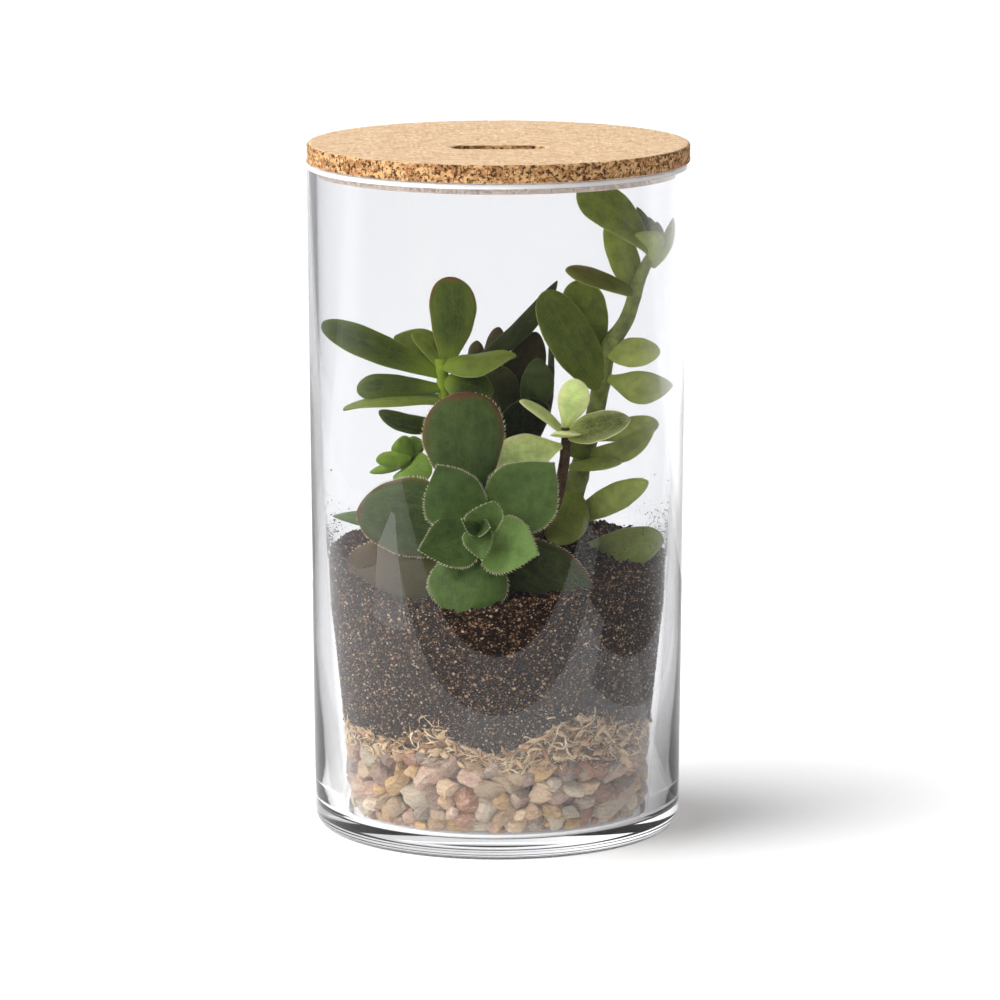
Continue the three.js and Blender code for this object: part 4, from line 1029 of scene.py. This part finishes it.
# the large rosette that leans on the front glass
rosette = {
    "finish": "rosetteLeaf", "slot": "rosette_leaf", "node": "rosette_plant",
    "look": {
        "deep": (0.028, 0.05, 0.009), "light": (0.15, 0.245, 0.055), "foot": (0.1, 0.16, 0.03),
        "under": (0.11, 0.16, 0.05), "rim": (0.11, 0.17, 0.035), "margin": (0.3, 0.3, 0.13),
        "blush": (0.14, 0.034, 0.02), "stemDeep": (0.07, 0.08, 0.02), "stemLight": (0.12, 0.14, 0.04),
        "rimShare": 0.25, "marginShare": 0.28, "roughness": 0.38,
    },
    "stems": [{"points": ((-4.5, -34.5, 85.8), (-5, -29, 83), (-5, -22, 74), (-4.5, -17, 63),
                          (-4, -15, 54)),
               "radii": (1.6, 3.4, 3.2, 3, 2.6)}],
    "leaves": [
        leaf("petal", (-3.5, -31, 86.5), (-15.3, -36, 103.1), 16, (0, -1, 0.2), widest=0.5, foot=0.2,
             bow=-1.4, cup=0.12, skew=0.15, sweep=1.4, tone=0.4),
        leaf("petal", (0, -31, 86.5), (14.7, -34, 103.3), 19, (0, -1, 0.2), foot=0.5, bow=-1.4, cup=0.1,
             tone=0.33),
        leaf("petal", (-5, -32, 85.3), (-20, -39.5, 81.4), 14.7, (-0.2, -1, 0.3), widest=0.35, foot=0.55,
             bow=-1.2, cup=0.15, sweep=1.2, tone=0.17),
        leaf("petal", (-3, -32, 84.6), (10.6, -40, 80.2), 15.5, (0.2, -1, 0.3), widest=0.4, foot=0.55,
             bow=-1.2, cup=0.15, sweep=-1.4, tone=1.0),
        leaf("round", (-5, -31, 82), (-8.3, -42.4, 64.1), 20.4, (-0.12, -0.95, 0.45), foot=0.2, swell=1.1,
             bow=0.8, cup=-0.2, sweep=-0.7, tone=0.3),
        leaf("round", (-3.5, -27.5, 80), (24.4, -33.5, 66.8), 17.5, (0.1, -0.95, 0.35), bow=1, cup=-0.06,
             sweep=-0.4, tone=0.0, blush=1.0, bronze=0.2),
        leaf("petal", (-3.5, -33, 84.5), (-0.8, -40, 94.3), 9.5, (0.1, -0.8, -0.5), widest=0.6, end=0.9,
             cup=0.35, sweep=1.8, thick=1.4, tone=0.45),
        leaf("petal", (-4.5, -34, 86.3), (-3.8, -41, 78.9), 7.6, (0, -0.7, 0.7), cup=0.35, sweep=-0.8,
             thick=1.4, tone=0.5),
        leaf("petal", (-4, -34, 85.5), (-9.1, -39.5, 89.4), 5.2, (0.5, -0.8, 0), cup=0.35, thick=1.3,
             tone=0.2),
        leaf("petal", (-4, -35, 85.6), (-1.8, -41.6, 87.6), 4.6, (-0.6, -0.5, 0.4), cup=0.3, thick=1.3,
             tone=0.3),
        leaf("spoon", (-5.2, -27.5, 82), (-8.9, -25, 120.3), 21.4, (0, -1, 0.1), widest=0.72, swell=2.6,
             bow=1.2, cup=-0.06, sweep=1, thick=2.4, tone=0.18, blush=1.0, bronze=0.1),
        leaf("round", (-5.5, -28, 83.5), (-35.8, -23, 88.4), 20.4, (-0.3, -1, 0.1), end=0.55, foot=0.45,
             bow=1, cup=-0.04, sweep=-1.2, thick=2.2, tone=0.07, blush=0.9, bronze=0.1),
        leaf("round", (-7.5, -27, 77), (-37.8, -23.2, 74.7), 16.4, (-0.3, -0.9, 0.3), end=0.45, bow=0.3,
             sweep=2.7, thick=2, tone=0.06, blush=0.8, bronze=0.8),
        leaf("lance", (-5.5, -23, 76), (-42.1, -15.5, 85.8), 6.6, (-0.2, -0.9, 0.4), sweep=-2.4, tone=0.45),
    ],
}

# behind on the left, with narrow leaves
spoonLeafPlant = {
    "finish": "spoonLeaf", "slot": "spoon_leaf", "node": "spoon_leaf_plant",
    "look": {
        "deep": (0.022, 0.036, 0.006), "light": (0.18, 0.23, 0.035), "foot": (0.24, 0.34, 0.03),
        "under": (0.16, 0.2, 0.06), "rim": (0.15, 0.21, 0.02), "margin": (0.3, 0.34, 0.12),
        "blush": (0.17, 0.07, 0.02), "rimFrom": 0.2, "rimShare": 0.6, "veins": 0.16,
        "stemDeep": (0.2, 0.28, 0.02), "stemLight": (0.32, 0.42, 0.05), "footShare": 0.7, "roughness": 0.4,
    },
    "stems": [{"points": ((-14.8, -5, 126), (-14, -5, 117.5), (-12.5, -4, 104), (-11, -3, 84),
                          (-10, -3, 55)),
               "radii": (1.5, 1.7, 1.9, 2.1, 2.1)}],
    "leaves": [
        leaf("strap", (-14.8, -5, 121.8), (-46.2, -4.5, 135.2), 8.8, (0, -0.85, 0.5), sweep=0.3, bow=0.8,
             tone=0.12),
        leaf("spoon", (-13.5, -5.5, 123.5), (-12, -4, 147.7), 12.6, (0, -1, 0.1), bow=-0.6, cup=0.08,
             sweep=-1, thick=2, tone=0.22, blush=1.3),
        leaf("oval", (-15.2, -3.8, 123.8), (-27.2, 1.5, 130.9), 8.2, (0.3, -0.9, 0.4), sweep=-3, tone=0.6),
        leaf("oval", (-15, -4.5, 124), (-22.4, -3, 132.5), 4.8, (0.3, -0.9, 0.3), sweep=-1.2, thick=1.4,
             tone=0.7),
        leaf("club", (-14, -5.5, 118), (-36.8, -8, 118.2), 7.4, (0, -0.85, 0.5), sweep=-0.6, bow=0.8,
             tone=0.16),
        leaf("lance", (-14, -5.5, 114.5), (-40.1, -11.5, 113.2), 8, (0, -0.3, 0.95), widest=0.35, foot=0.7,
             bow=2, wave=0.5, tone=0.75),
        leaf("oval", (-13.5, -5, 108.3), (-31.2, -6.5, 111.9), 6.4, (0, -0.85, -0.4), widest=0.62, foot=0.5,
             sweep=1.8, bow=0.6, tone=0.1),
        leaf("lance", (-14, -6, 124), (5.1, -13, 128), 9.6, (0, -0.6, 0.8), foot=0.25, end=0.95, sweep=-2,
             bow=1.2, wave=0.7, tone=0.75),
        leaf("oval", (-13.5, -6, 120.5), (-1.1, -11.5, 117.3), 9.4, (0.2, -0.9, 0.4), bow=0.5, tone=0.1),
    ],
}

# in the middle at the back
darkLeafPlant = {
    "finish": "darkLeaf", "slot": "dark_leaf", "node": "dark_leaf_plant",
    "look": {
        "deep": (0.009, 0.011, 0.003), "light": (0.13, 0.17, 0.05), "foot": (0.03, 0.035, 0.01),
        "under": (0.06, 0.07, 0.03), "rim": (0.05, 0.06, 0.02), "margin": (0.15, 0.16, 0.08),
        "blush": (0.13, 0.05, 0.03), "stemDeep": (0.05, 0.05, 0.03), "stemLight": (0.11, 0.11, 0.07),
        "roughness": 0.45,
    },
    "stems": [
        {"points": ((-6, 6, 123), (0, 5, 113.5), (4, 4, 101), (5, 4, 84), (5, 3, 55)),
         "radii": (1.3, 1.7, 2, 2.2, 2.2)},
        {"points": ((9, 0, 112.5), (7.5, 2, 105), (4.5, 4, 97)), "radii": (1, 1.3, 1.5)},
        {"points": ((14.5, 7, 127), (13.2, 5.5, 110), (5.3, 4, 94)), "radii": (0.8, 1.1, 1.4)},
    ],
    "leaves": [
        leaf("lance", (-6.2, 5.8, 122.9), (16.1, 8.5, 144.9), 5.4, (0, -0.95, 0.3), bow=0.6, sweep=-2.4,
             tone=0.25, blush=0.8),
        leaf("oval", (-4.5, 6.5, 120), (0.6, 13, 131.7), 5.2, (0, -0.8, 0.5), widest=0.66, sweep=-0.8,
             tone=0.35, blush=0.8, bronze=0.5),
        leaf("oval", (-6, 6.5, 121), (-5.4, 12, 128.2), 4.4, (0, -0.7, 0.6), widest=0.6, tone=0.6,
             blush=0.8, bronze=0.5),
        leaf("oval", (-1, 4.5, 111.5), (10.8, 8, 131.1), 11, (0.1, -0.9, 0.4), bow=-0.8, cup=0.1,
             sweep=-1.8, tone=0.08, bronze=0.35),
        leaf("spoon", (2, 4, 107), (-0.3, -1.5, 123.8), 9, (-0.2, -0.8, 0.6), sweep=-1, tone=0.35,
             bronze=0.3),
        leaf("oval", (8.5, 0, 111), (10.8, -3, 125.9), 8.8, (0.1, -1, 0.1), end=0.7, cup=0.06, sweep=-0.9,
             tone=0.62),
        leaf("round", (8, 1, 103.5), (6, -6.5, 115.1), 14.6, (0, -0.8, 0.6), foot=0.5, cup=0.05, tone=0.02),
    ],
}

# small and bright, on the left
greenSprig = {
    "finish": "sprigLeaf", "slot": "sprig_leaf", "node": "green_sprig",
    "look": {
        "deep": (0.06, 0.115, 0.012), "light": (0.21, 0.33, 0.04), "foot": (0.17, 0.27, 0.03),
        "under": (0.14, 0.2, 0.04), "rim": (0.17, 0.25, 0.04), "margin": (0.26, 0.3, 0.09),
        "blush": (0.16, 0.05, 0.03), "stemDeep": (0.06, 0.06, 0.02), "stemLight": (0.12, 0.12, 0.04),
        "roughness": 0.42,
    },
    "stems": [{"points": ((-22.5, -17.3, 102), (-22, -16, 96), (-20, -14, 85), (-18, -12, 70),
                          (-17, -11, 57)),
               "radii": (0.9, 1, 1.2, 1.3, 1.3)}],
    "leaves": [
        leaf("oval", (-22.5, -17, 101), (-24.6, -17, 107.2), 5.8, (0.2, -1, 0.2), widest=0.6, sweep=1.2,
             tone=0.6),
        leaf("oval", (-22.3, -16.5, 100.8), (-21.6, -14, 106.6), 4.6, (0.2, -1, 0.3), widest=0.7,
             sweep=-0.8, tone=0.3),
        leaf("oval", (-22.5, -18, 101.3), (-31.2, -21.5, 101.6), 5.2, (0, -0.8, 0.6), tone=0.8),
        leaf("lance", (-22.5, -16.6, 100.4), (-33.1, -16, 97.3), 3.2, (0, -0.8, 0.6), tone=0.6),
        leaf("oval", (-18.5, -17, 101.8), (-26.6, -22.2, 96.4), 8.6, (-0.2, -0.6, 0.8), foot=0.5, sweep=2.6,
             tone=0.45),
    ],
}

# the thick green branch on the right
tallBranch = {
    "finish": "branchLeaf", "slot": "branch_leaf", "node": "tall_branch",
    "look": {
        "deep": (0.065, 0.09, 0.007), "light": (0.44, 0.5, 0.105), "foot": (0.17, 0.22, 0.02),
        "under": (0.26, 0.3, 0.08), "rim": (0.24, 0.29, 0.06), "margin": (0.34, 0.36, 0.12),
        "blush": (0.2, 0.05, 0.03), "stemDeep": (0.1, 0.12, 0.025), "stemLight": (0.22, 0.25, 0.07),
        "rimShare": 0.25, "marginShare": 0.4, "roughness": 0.4, "glow": 0.2, "veins": 0.04, "streaks": 0.08,
    },
    "stems": [{"points": ((41.6, 0, 154.5), (38.2, 0, 148), (34.2, 0, 136), (29, 0, 126.8),
                          (26.7, 0, 113.5), (23.5, -0.5, 100.5), (20, -2, 87.5), (18.5, -2, 71.5),
                          (18, -2, 55)),
               "radii": (1.2, 1.6, 2, 2.3, 2.4, 2.6, 2.8, 2.9, 2.8), "joint": 13}],
    "leaves": [
        leaf("spoon", (40.5, -1, 153.4), (21, -5, 170.6), 10.8, (0, -1, 0.2), end=0.65, sweep=-2,
             tone=0.17),
        leaf("oval", (36.2, 1.2, 143), (29.5, 4.4, 161.7), 8.4, (0, -1, 0.1), foot=0.4, sweep=-0.4,
             tone=0.4),
        leaf("lance", (41, 0.6, 152.5), (37, 5, 165), 4, (0.3, -1, 0.2), sweep=-0.6, tone=0.08),
        leaf("lance", (41.2, 0.8, 152.5), (40.3, 5, 162.3), 4.2, (0, -1, 0.4), sweep=-0.4, tone=0.15),
        leaf("lance", (41.4, 0.5, 152.5), (42.4, 3.2, 161.3), 4.4, (-0.2, -1, 0.2), sweep=-0.4, tone=0.2),
        leaf("oval", (41.2, -0.8, 152), (36.1, -7, 159.4), 5.6, (0.3, -0.7, -0.7), foot=0.5, sweep=-3,
             tone=0.45),
        leaf("oval", (40.8, -0.4, 149.8), (46.4, -3.2, 163.2), 4, (-0.7, -0.7, 0), foot=0.5, end=0.8,
             sweep=-1.2, tone=0.3),
        leaf("oval", (35.5, -1, 143), (17.9, -6, 149.8), 7.2, (0, -0.6, 0.78), widest=0.66, foot=0.45,
             bow=0.6, tone=0.2, bronze=0.45),
        leaf("oval", (27.3, -2, 117.8), (12, -8, 144.2), 12.7, (0.1, -1, 0.15), end=0.45, bow=-0.8,
             cup=0.06, thick=2, tone=0.02),
        leaf("spoon", (28, 1.2, 124.4), (20.5, 2.4, 145.7), 11.8, (-0.1, -1, 0), tone=0.12),
        leaf("oval", (28.8, -1.5, 126.8), (42.8, -5, 128), 8, (0, -0.95, 0.3), widest=0.48, foot=0.12,
             end=0.55, tone=0.6, bronze=0.12),
        leaf("oval", (28.4, -1, 120.6), (46.8, -3.5, 118.5), 9, (0, -0.95, 0.3), foot=0.2, swell=1.6,
             end=0.85, sweep=-1.8, tone=0.58, bronze=0.12),
        leaf("oval", (24.8, -1.5, 103.6), (42.4, -7, 108.8), 7, (0, -0.8, 0.6), widest=0.68, swell=1.1,
             end=0.55, sweep=0.4, tone=0.6),
        leaf("oval", (24, -2, 99.8), (41.1, -9, 107.7), 6.4, (0, -0.9, 0.4), end=0.7, sweep=-2.6, tone=0.5),
        leaf("lance", (19.4, -3, 96.6), (32.5, -11.5, 99.2), 6, (0, -0.55, 0.84), end=0.6, tone=0.4),
        leaf("oval", (24, -2, 99.6), (17.6, -6.5, 103.9), 5.6, (0, -0.9, 0.3), foot=0.5, tone=0.2),
        leaf("round", (20.5, -4, 89.5), (14.8, -21, 79), 10.6, (0.1, -0.65, 0.75), end=0.45, cup=0.05,
             sweep=1.2, tone=0.36),
        leaf("oval", (20.6, -4, 82.8), (39.5, -10, 93.9), 7.6, (0, -0.9, 0.45), foot=0.4, tone=0.7),
        leaf("oval", (19, -3.6, 72.6), (42, -17, 80.1), 12.5, (0.2, -0.8, 0.55), widest=0.68, swell=1,
             end=0.5, bow=1.4, sweep=-2.6, tone=0.22),
    ],
}

# pale, in front of the branch
creamEdgedSprig = {
    "finish": "creamLeaf", "slot": "cream_edged_leaf", "node": "cream_edged_sprig",
    "look": {
        "deep": (0.095, 0.11, 0.02), "light": (0.72, 0.86, 0.31), "foot": (0.66, 0.74, 0.22),
        "under": (0.5, 0.54, 0.2), "rim": (0.86, 0.86, 0.38), "margin": (0.92, 0.88, 0.5),
        "blush": (0.4, 0.15, 0.06), "stemDeep": (0.045, 0.022, 0.012), "stemLight": (0.09, 0.05, 0.025),
        "roughness": 0.4, "glow": 0.2, "marginShare": 0.85, "rimShare": 0.75, "rimFrom": 0.4,
    },
    "stems": [{"points": ((18, -12.2, 108.5), (17.5, -13.4, 99), (15.2, -16.8, 89.5), (11, -19.8, 82),
                          (9, -20.3, 74), (8.5, -20, 57)),
               "radii": (1.1, 1.4, 1.5, 1.5, 1.5, 1.5)}],
    "leaves": [
        leaf("spoon", (17.2, -12, 107.5), (20.9, -12, 121.7), 8.4, (0, -1, 0.1), widest=0.62, swell=2,
             sweep=-0.5, thick=1.6, tone=1.0),
        leaf("oval", (17.4, -12.2, 107), (5.9, -15, 116.4), 4.8, (0.4, -0.5, 0.75), foot=0.5, sweep=-1.4,
             tone=0.8),
        leaf("round", (18, -12.5, 106.6), (17.6, -20, 108.4), 8, (0, 0.2, 0.98), thick=1.8, tone=1.0),
        leaf("oval", (17, -13, 103.8), (-1.5, -19.5, 99.8), 11.6, (0, -0.8, 0.6), foot=0.15, swell=1.4,
             end=0.55, bow=1.2, sweep=-0.4, tone=1.1),
        leaf("oval", (18.4, -12.8, 106.6), (34.5, -16.5, 111.7), 8.7, (0, -0.85, 0.5), widest=0.46,
             end=0.65, bow=0.8, tone=0.0),
    ],
}


teeth = {
    "seed": 5, "spacing": 1.05, "lengths": (0.35, 0.75), "widths": (0.15, 0.09, 0.02),
    "fullFrom": 12,  # on narrower leaves the teeth are shorter
    "skip": ("lance",), "colours": ((0.42, 0.38, 0.20), (0.78, 0.72, 0.50)),
}


def toothFinish():
    f = newFinish("paleTeeth")
    return f.skin(f.mix(f.noise(f.place(), 2.0, 2.0), *teeth["colours"]), 0.55)


def leafTeeth(blade, rng):
    # small curved spines along both margins, leaning towards the tip
    length = np.linalg.norm(np.subtract(blade["tip"], blade["base"]))
    count = int((length + blade["width"] * 0.5) / teeth["spacing"])
    along = np.tile(np.linspace(0.22, 0.985, count) + rng.uniform(-0.006, 0.006, count), 2)
    margin = np.repeat((0, np.pi), count)
    at = leafSurface(blade, along, margin)
    forward = unit(leafSurface(blade, along + 0.004, margin) - at)
    out = unit(at - leafSurface(blade, along, margin + 0.35 * np.cos(margin)))
    out = unit(out - (out * forward).sum(-1, keepdims=True) * forward + 0.35 * forward)
    reach = rng.uniform(*teeth["lengths"], len(at))[:, None] * min(1, blade["width"] / teeth["fullFrom"])
    cross = unit(np.cross(out, forward))
    other = np.cross(cross, out)
    turn = around(4)[:, None]
    ring = other[:, None] * np.cos(turn) + cross[:, None] * np.sin(turn)
    # foot, waist and point of each tooth
    middles = (at - out * 0.1, at + out * reach * 0.5, at + out * reach + forward * reach * 0.25)
    rows = [middle[:, None] + ring * width for middle, width in zip(middles, teeth["widths"])]
    points, faces = closedTubes(np.stack(rows, 1))
    return points, faces, {}


def makeTeeth():
    rng = np.random.default_rng(teeth["seed"])
    toothed = [leafTeeth(blade, rng) for blade in rosette["leaves"] if blade["kind"] not in teeth["skip"]]
    points, faces, _ = gather(toothed)
    dress(newPiece("rosetteTeeth", points, faces, toothFinish()), "rosette_leaf")
    print("leaf teeth set")


# Studio

studio = {
    # the photo's camera: place in millimetres, tilt in degrees, lengths in pixels of the 1000 wide picture
    "eye": (0, -1572.5, 369.9), "tiltDown": 10.191, "focalPixels": 6025.55, "axisPixel": 497.134,
    "photoSide": 1000, "sensor": 36,
    "floor": (-3500, 3500, -6000, 6000), "floorLevel": -0.02,
    # dark cloth: x from and to, y from and to, and how much of it is there in front and behind
    "clothLevel": 1.0,
    "cloths": ((-3000, 3000, -3000, -212, 1, 1), (-3000, -400, -212, 330, 1, 0.6),
               (-500, -115, 330, 1500, 0.6, 0.2), (-3000, -500, 330, 1500, 0.9, 0.7),
               (-400, -60, -212, 20, 0.3, 0.3), (-400, -60, 20, 330, 0.35, 0.5),
               (300, 3000, -212, -140, 0.85, 0.85), (200, 3000, -140, 60, 0.85, 0.85),
               (200, 3000, 60, 330, 0.85, 0.3), (60, 200, 20, 330, 0.35, 0.5)),
    # a bright panel on the floor at the left, which only mirrored rays see
    "panel": ((-453, -208), (-440, -226), (-250, -190), (-320, -70), (-425, -112), (-450, -190)),
    "panelLevel": 2.0, "panelGlow": 2.0,
    # the floor glows a little, and more under the jar, where the thick base pipes light down
    "floorGlow": 0.08, "footGlow": 0.12, "footGlowFades": (56, 42),
    # a soft lamp at the left, aimed at a height on the axis
    "sidePower": 3.0, "sidePlace": (-620, -360, 420), "sideSize": 0.5, "sideAim": 110,
    # the soft main light: brightness, its width in degrees, its height and its turn to the left of the front
    "keyStrength": 2.2, "keyWidth": 35, "keyHeight": 68, "keyTurn": 78,
    # the room's light everywhere, and what its left, its back and its ceiling add
    "roomGlow": 0.14, "leftGlow": 1.0, "backGlow": 0.65, "ceilingGlow": 0.10,
    "paper": ((0.90, 0.90, 0.90), (0.93, 0.93, 0.93)), "cloth": (0.05, 0.05, 0.055),
}


def hideFrom(item, *rays):
    for ray in rays:
        setattr(item, "visible_" + ray, False)


def flatSheets(areas, height):
    # level rectangles, each given by x from and to, then y from and to
    x0, x1, y0, y1 = np.array(areas, float).T
    flat = np.stack([x0, y0, x1, y0, x1, y1, x0, y1], -1).reshape(-1, 2)
    return np.column_stack([flat, np.full(len(flat), height)]), [np.arange(len(flat)).reshape(-1, 4)]


def makeCamera():
    data = bpy.data.cameras.new("photoCamera")
    data.sensor_width = studio["sensor"]
    data.lens = studio["sensor"] * studio["focalPixels"] / studio["photoSide"]
    data.shift_x = 0.5 - studio["axisPixel"] / studio["photoSide"]
    data.clip_start = 0.05
    data.clip_end = 30
    camera = link(bpy.data.objects.new("photoCamera", data))
    camera.location = [c * mm for c in studio["eye"]]
    camera.rotation_euler = (math.radians(90 - studio["tiltDown"]), 0, 0)
    bpy.context.scene.camera = camera


def makeKeyLight():
    data = bpy.data.lights.new("keyLight", "SUN")
    data.energy = studio["keyStrength"]
    data.angle = math.radians(studio["keyWidth"])
    lamp = link(bpy.data.objects.new("keyLight", data))
    lamp.rotation_euler = (math.radians(90 - studio["keyHeight"]), 0, -math.radians(studio["keyTurn"]))


def makeSideLamp():
    data = bpy.data.lights.new("sideLamp", "AREA")
    data.shape = "DISK"
    data.size = studio["sideSize"]
    data.energy = studio["sidePower"]
    lamp = link(bpy.data.objects.new("sideLamp", data))
    x, y, z = studio["sidePlace"]
    lamp.location = (x * mm, y * mm, z * mm)
    lamp.rotation_euler = (math.atan2(math.hypot(x, y), z - studio["sideAim"]), 0, math.atan2(x, -y))
    hideFrom(lamp, "glossy", "transmission")


def makeFloorLamp():
    f = newFinish("floorLampGlow")
    finish = f.surface(f.add("Emission", Color=(0.97, 0.98, 1.0), Strength=studio["panelGlow"]))
    corners = np.array([(x, y, studio["panelLevel"]) for x, y in studio["panel"]])
    piece = newPiece("floorLamp", corners, [np.array([[0, 1, 2, 3], [0, 3, 4, 5]])], finish)
    hideFrom(piece, "camera", "diffuse", "shadow", "transmission")


def makeFloor():
    f = newFinish("paperFloor")
    colour = f.mix(f.noise(f.place(), 0.4, 3.0), *studio["paper"])
    outward = f.add("VectorMath", {"operation": "LENGTH"}, out=1, i0=f.place((1, 1, 0)))
    foot = outward.smooth(*studio["footGlowFades"]) * studio["footGlow"]
    glow = f.tint((1, 1, 1), foot + studio["floorGlow"])
    finish = f.skin(colour, 0.85, 0.1, Emission_Color=glow, Emission_Strength=1.0)
    points, faces = flatSheets([studio["floor"]], studio["floorLevel"])
    newPiece("paperFloor", points, faces, finish)


def makeBlackCloth():
    # cloth on the floor round the set: only what is mirrored in the glass shows it
    f = newFinish("blackCloth")
    mirrored = f.add("LightPath").beside("Glossy Depth")
    share = mirrored.least(1.0) * (1 - mirrored.above(1.5) * 0.6) * f.value("dark")
    cloth = f.add("BsdfDiffuse", Color=studio["cloth"])
    finish = f.surface(f.add("MixShader", i0=share, i1=f.add("BsdfTransparent"), i2=cloth))
    cloths = np.array(studio["cloths"])
    points, faces = flatSheets(cloths[:, :4], studio["clothLevel"])
    piece = newPiece("blackCloth", points, faces, finish, {"dark": cloths[:, [4, 4, 5, 5]]})
    hideFrom(piece, "camera", "diffuse", "shadow")


def makeRoom():
    # a white room: bright on the left, less so behind and above, dim on the right; seen straight it is white
    world = bpy.data.worlds.new("studioRoom")
    bpy.context.scene.world = world
    f = Finish(world)
    x = f.add("SeparateXYZ", i0=f.add("TexCoord"))
    straight = f.add("LightPath").beside("Is Camera Ray")
    left = x.smooth(0.1, -0.8) * studio["leftGlow"]
    back = x.beside(1).smooth(0.2, 0.9) * studio["backGlow"]
    glow = studio["roomGlow"] + left + back + x.beside(2) * studio["ceilingGlow"]
    f.surface(f.add("Background", Color=(0.985, 0.99, 1.0), Strength=glow.most(straight)), "OutputWorld")


def makeStudio():
    makeCamera()
    makeFloor()
    makeBlackCloth()
    makeRoom()
    makeKeyLight()
    makeSideLamp()
    makeFloorLamp()
    bpy.context.scene.view_settings.view_transform = "Standard"
    print("studio set")


makeGlassJar()
makeCorkLid()
makeGravel()
makeFibre()
makeSoil()
makePlant("rosettePlant", rosette)
makeTeeth()
makePlant("spoonLeafPlant", spoonLeafPlant)
makePlant("darkLeafPlant", darkLeafPlant)
makePlant("greenSprig", greenSprig)
makePlant("tallBranch", tallBranch)
makePlant("creamEdgedSprig", creamEdgedSprig)
makeStudio()

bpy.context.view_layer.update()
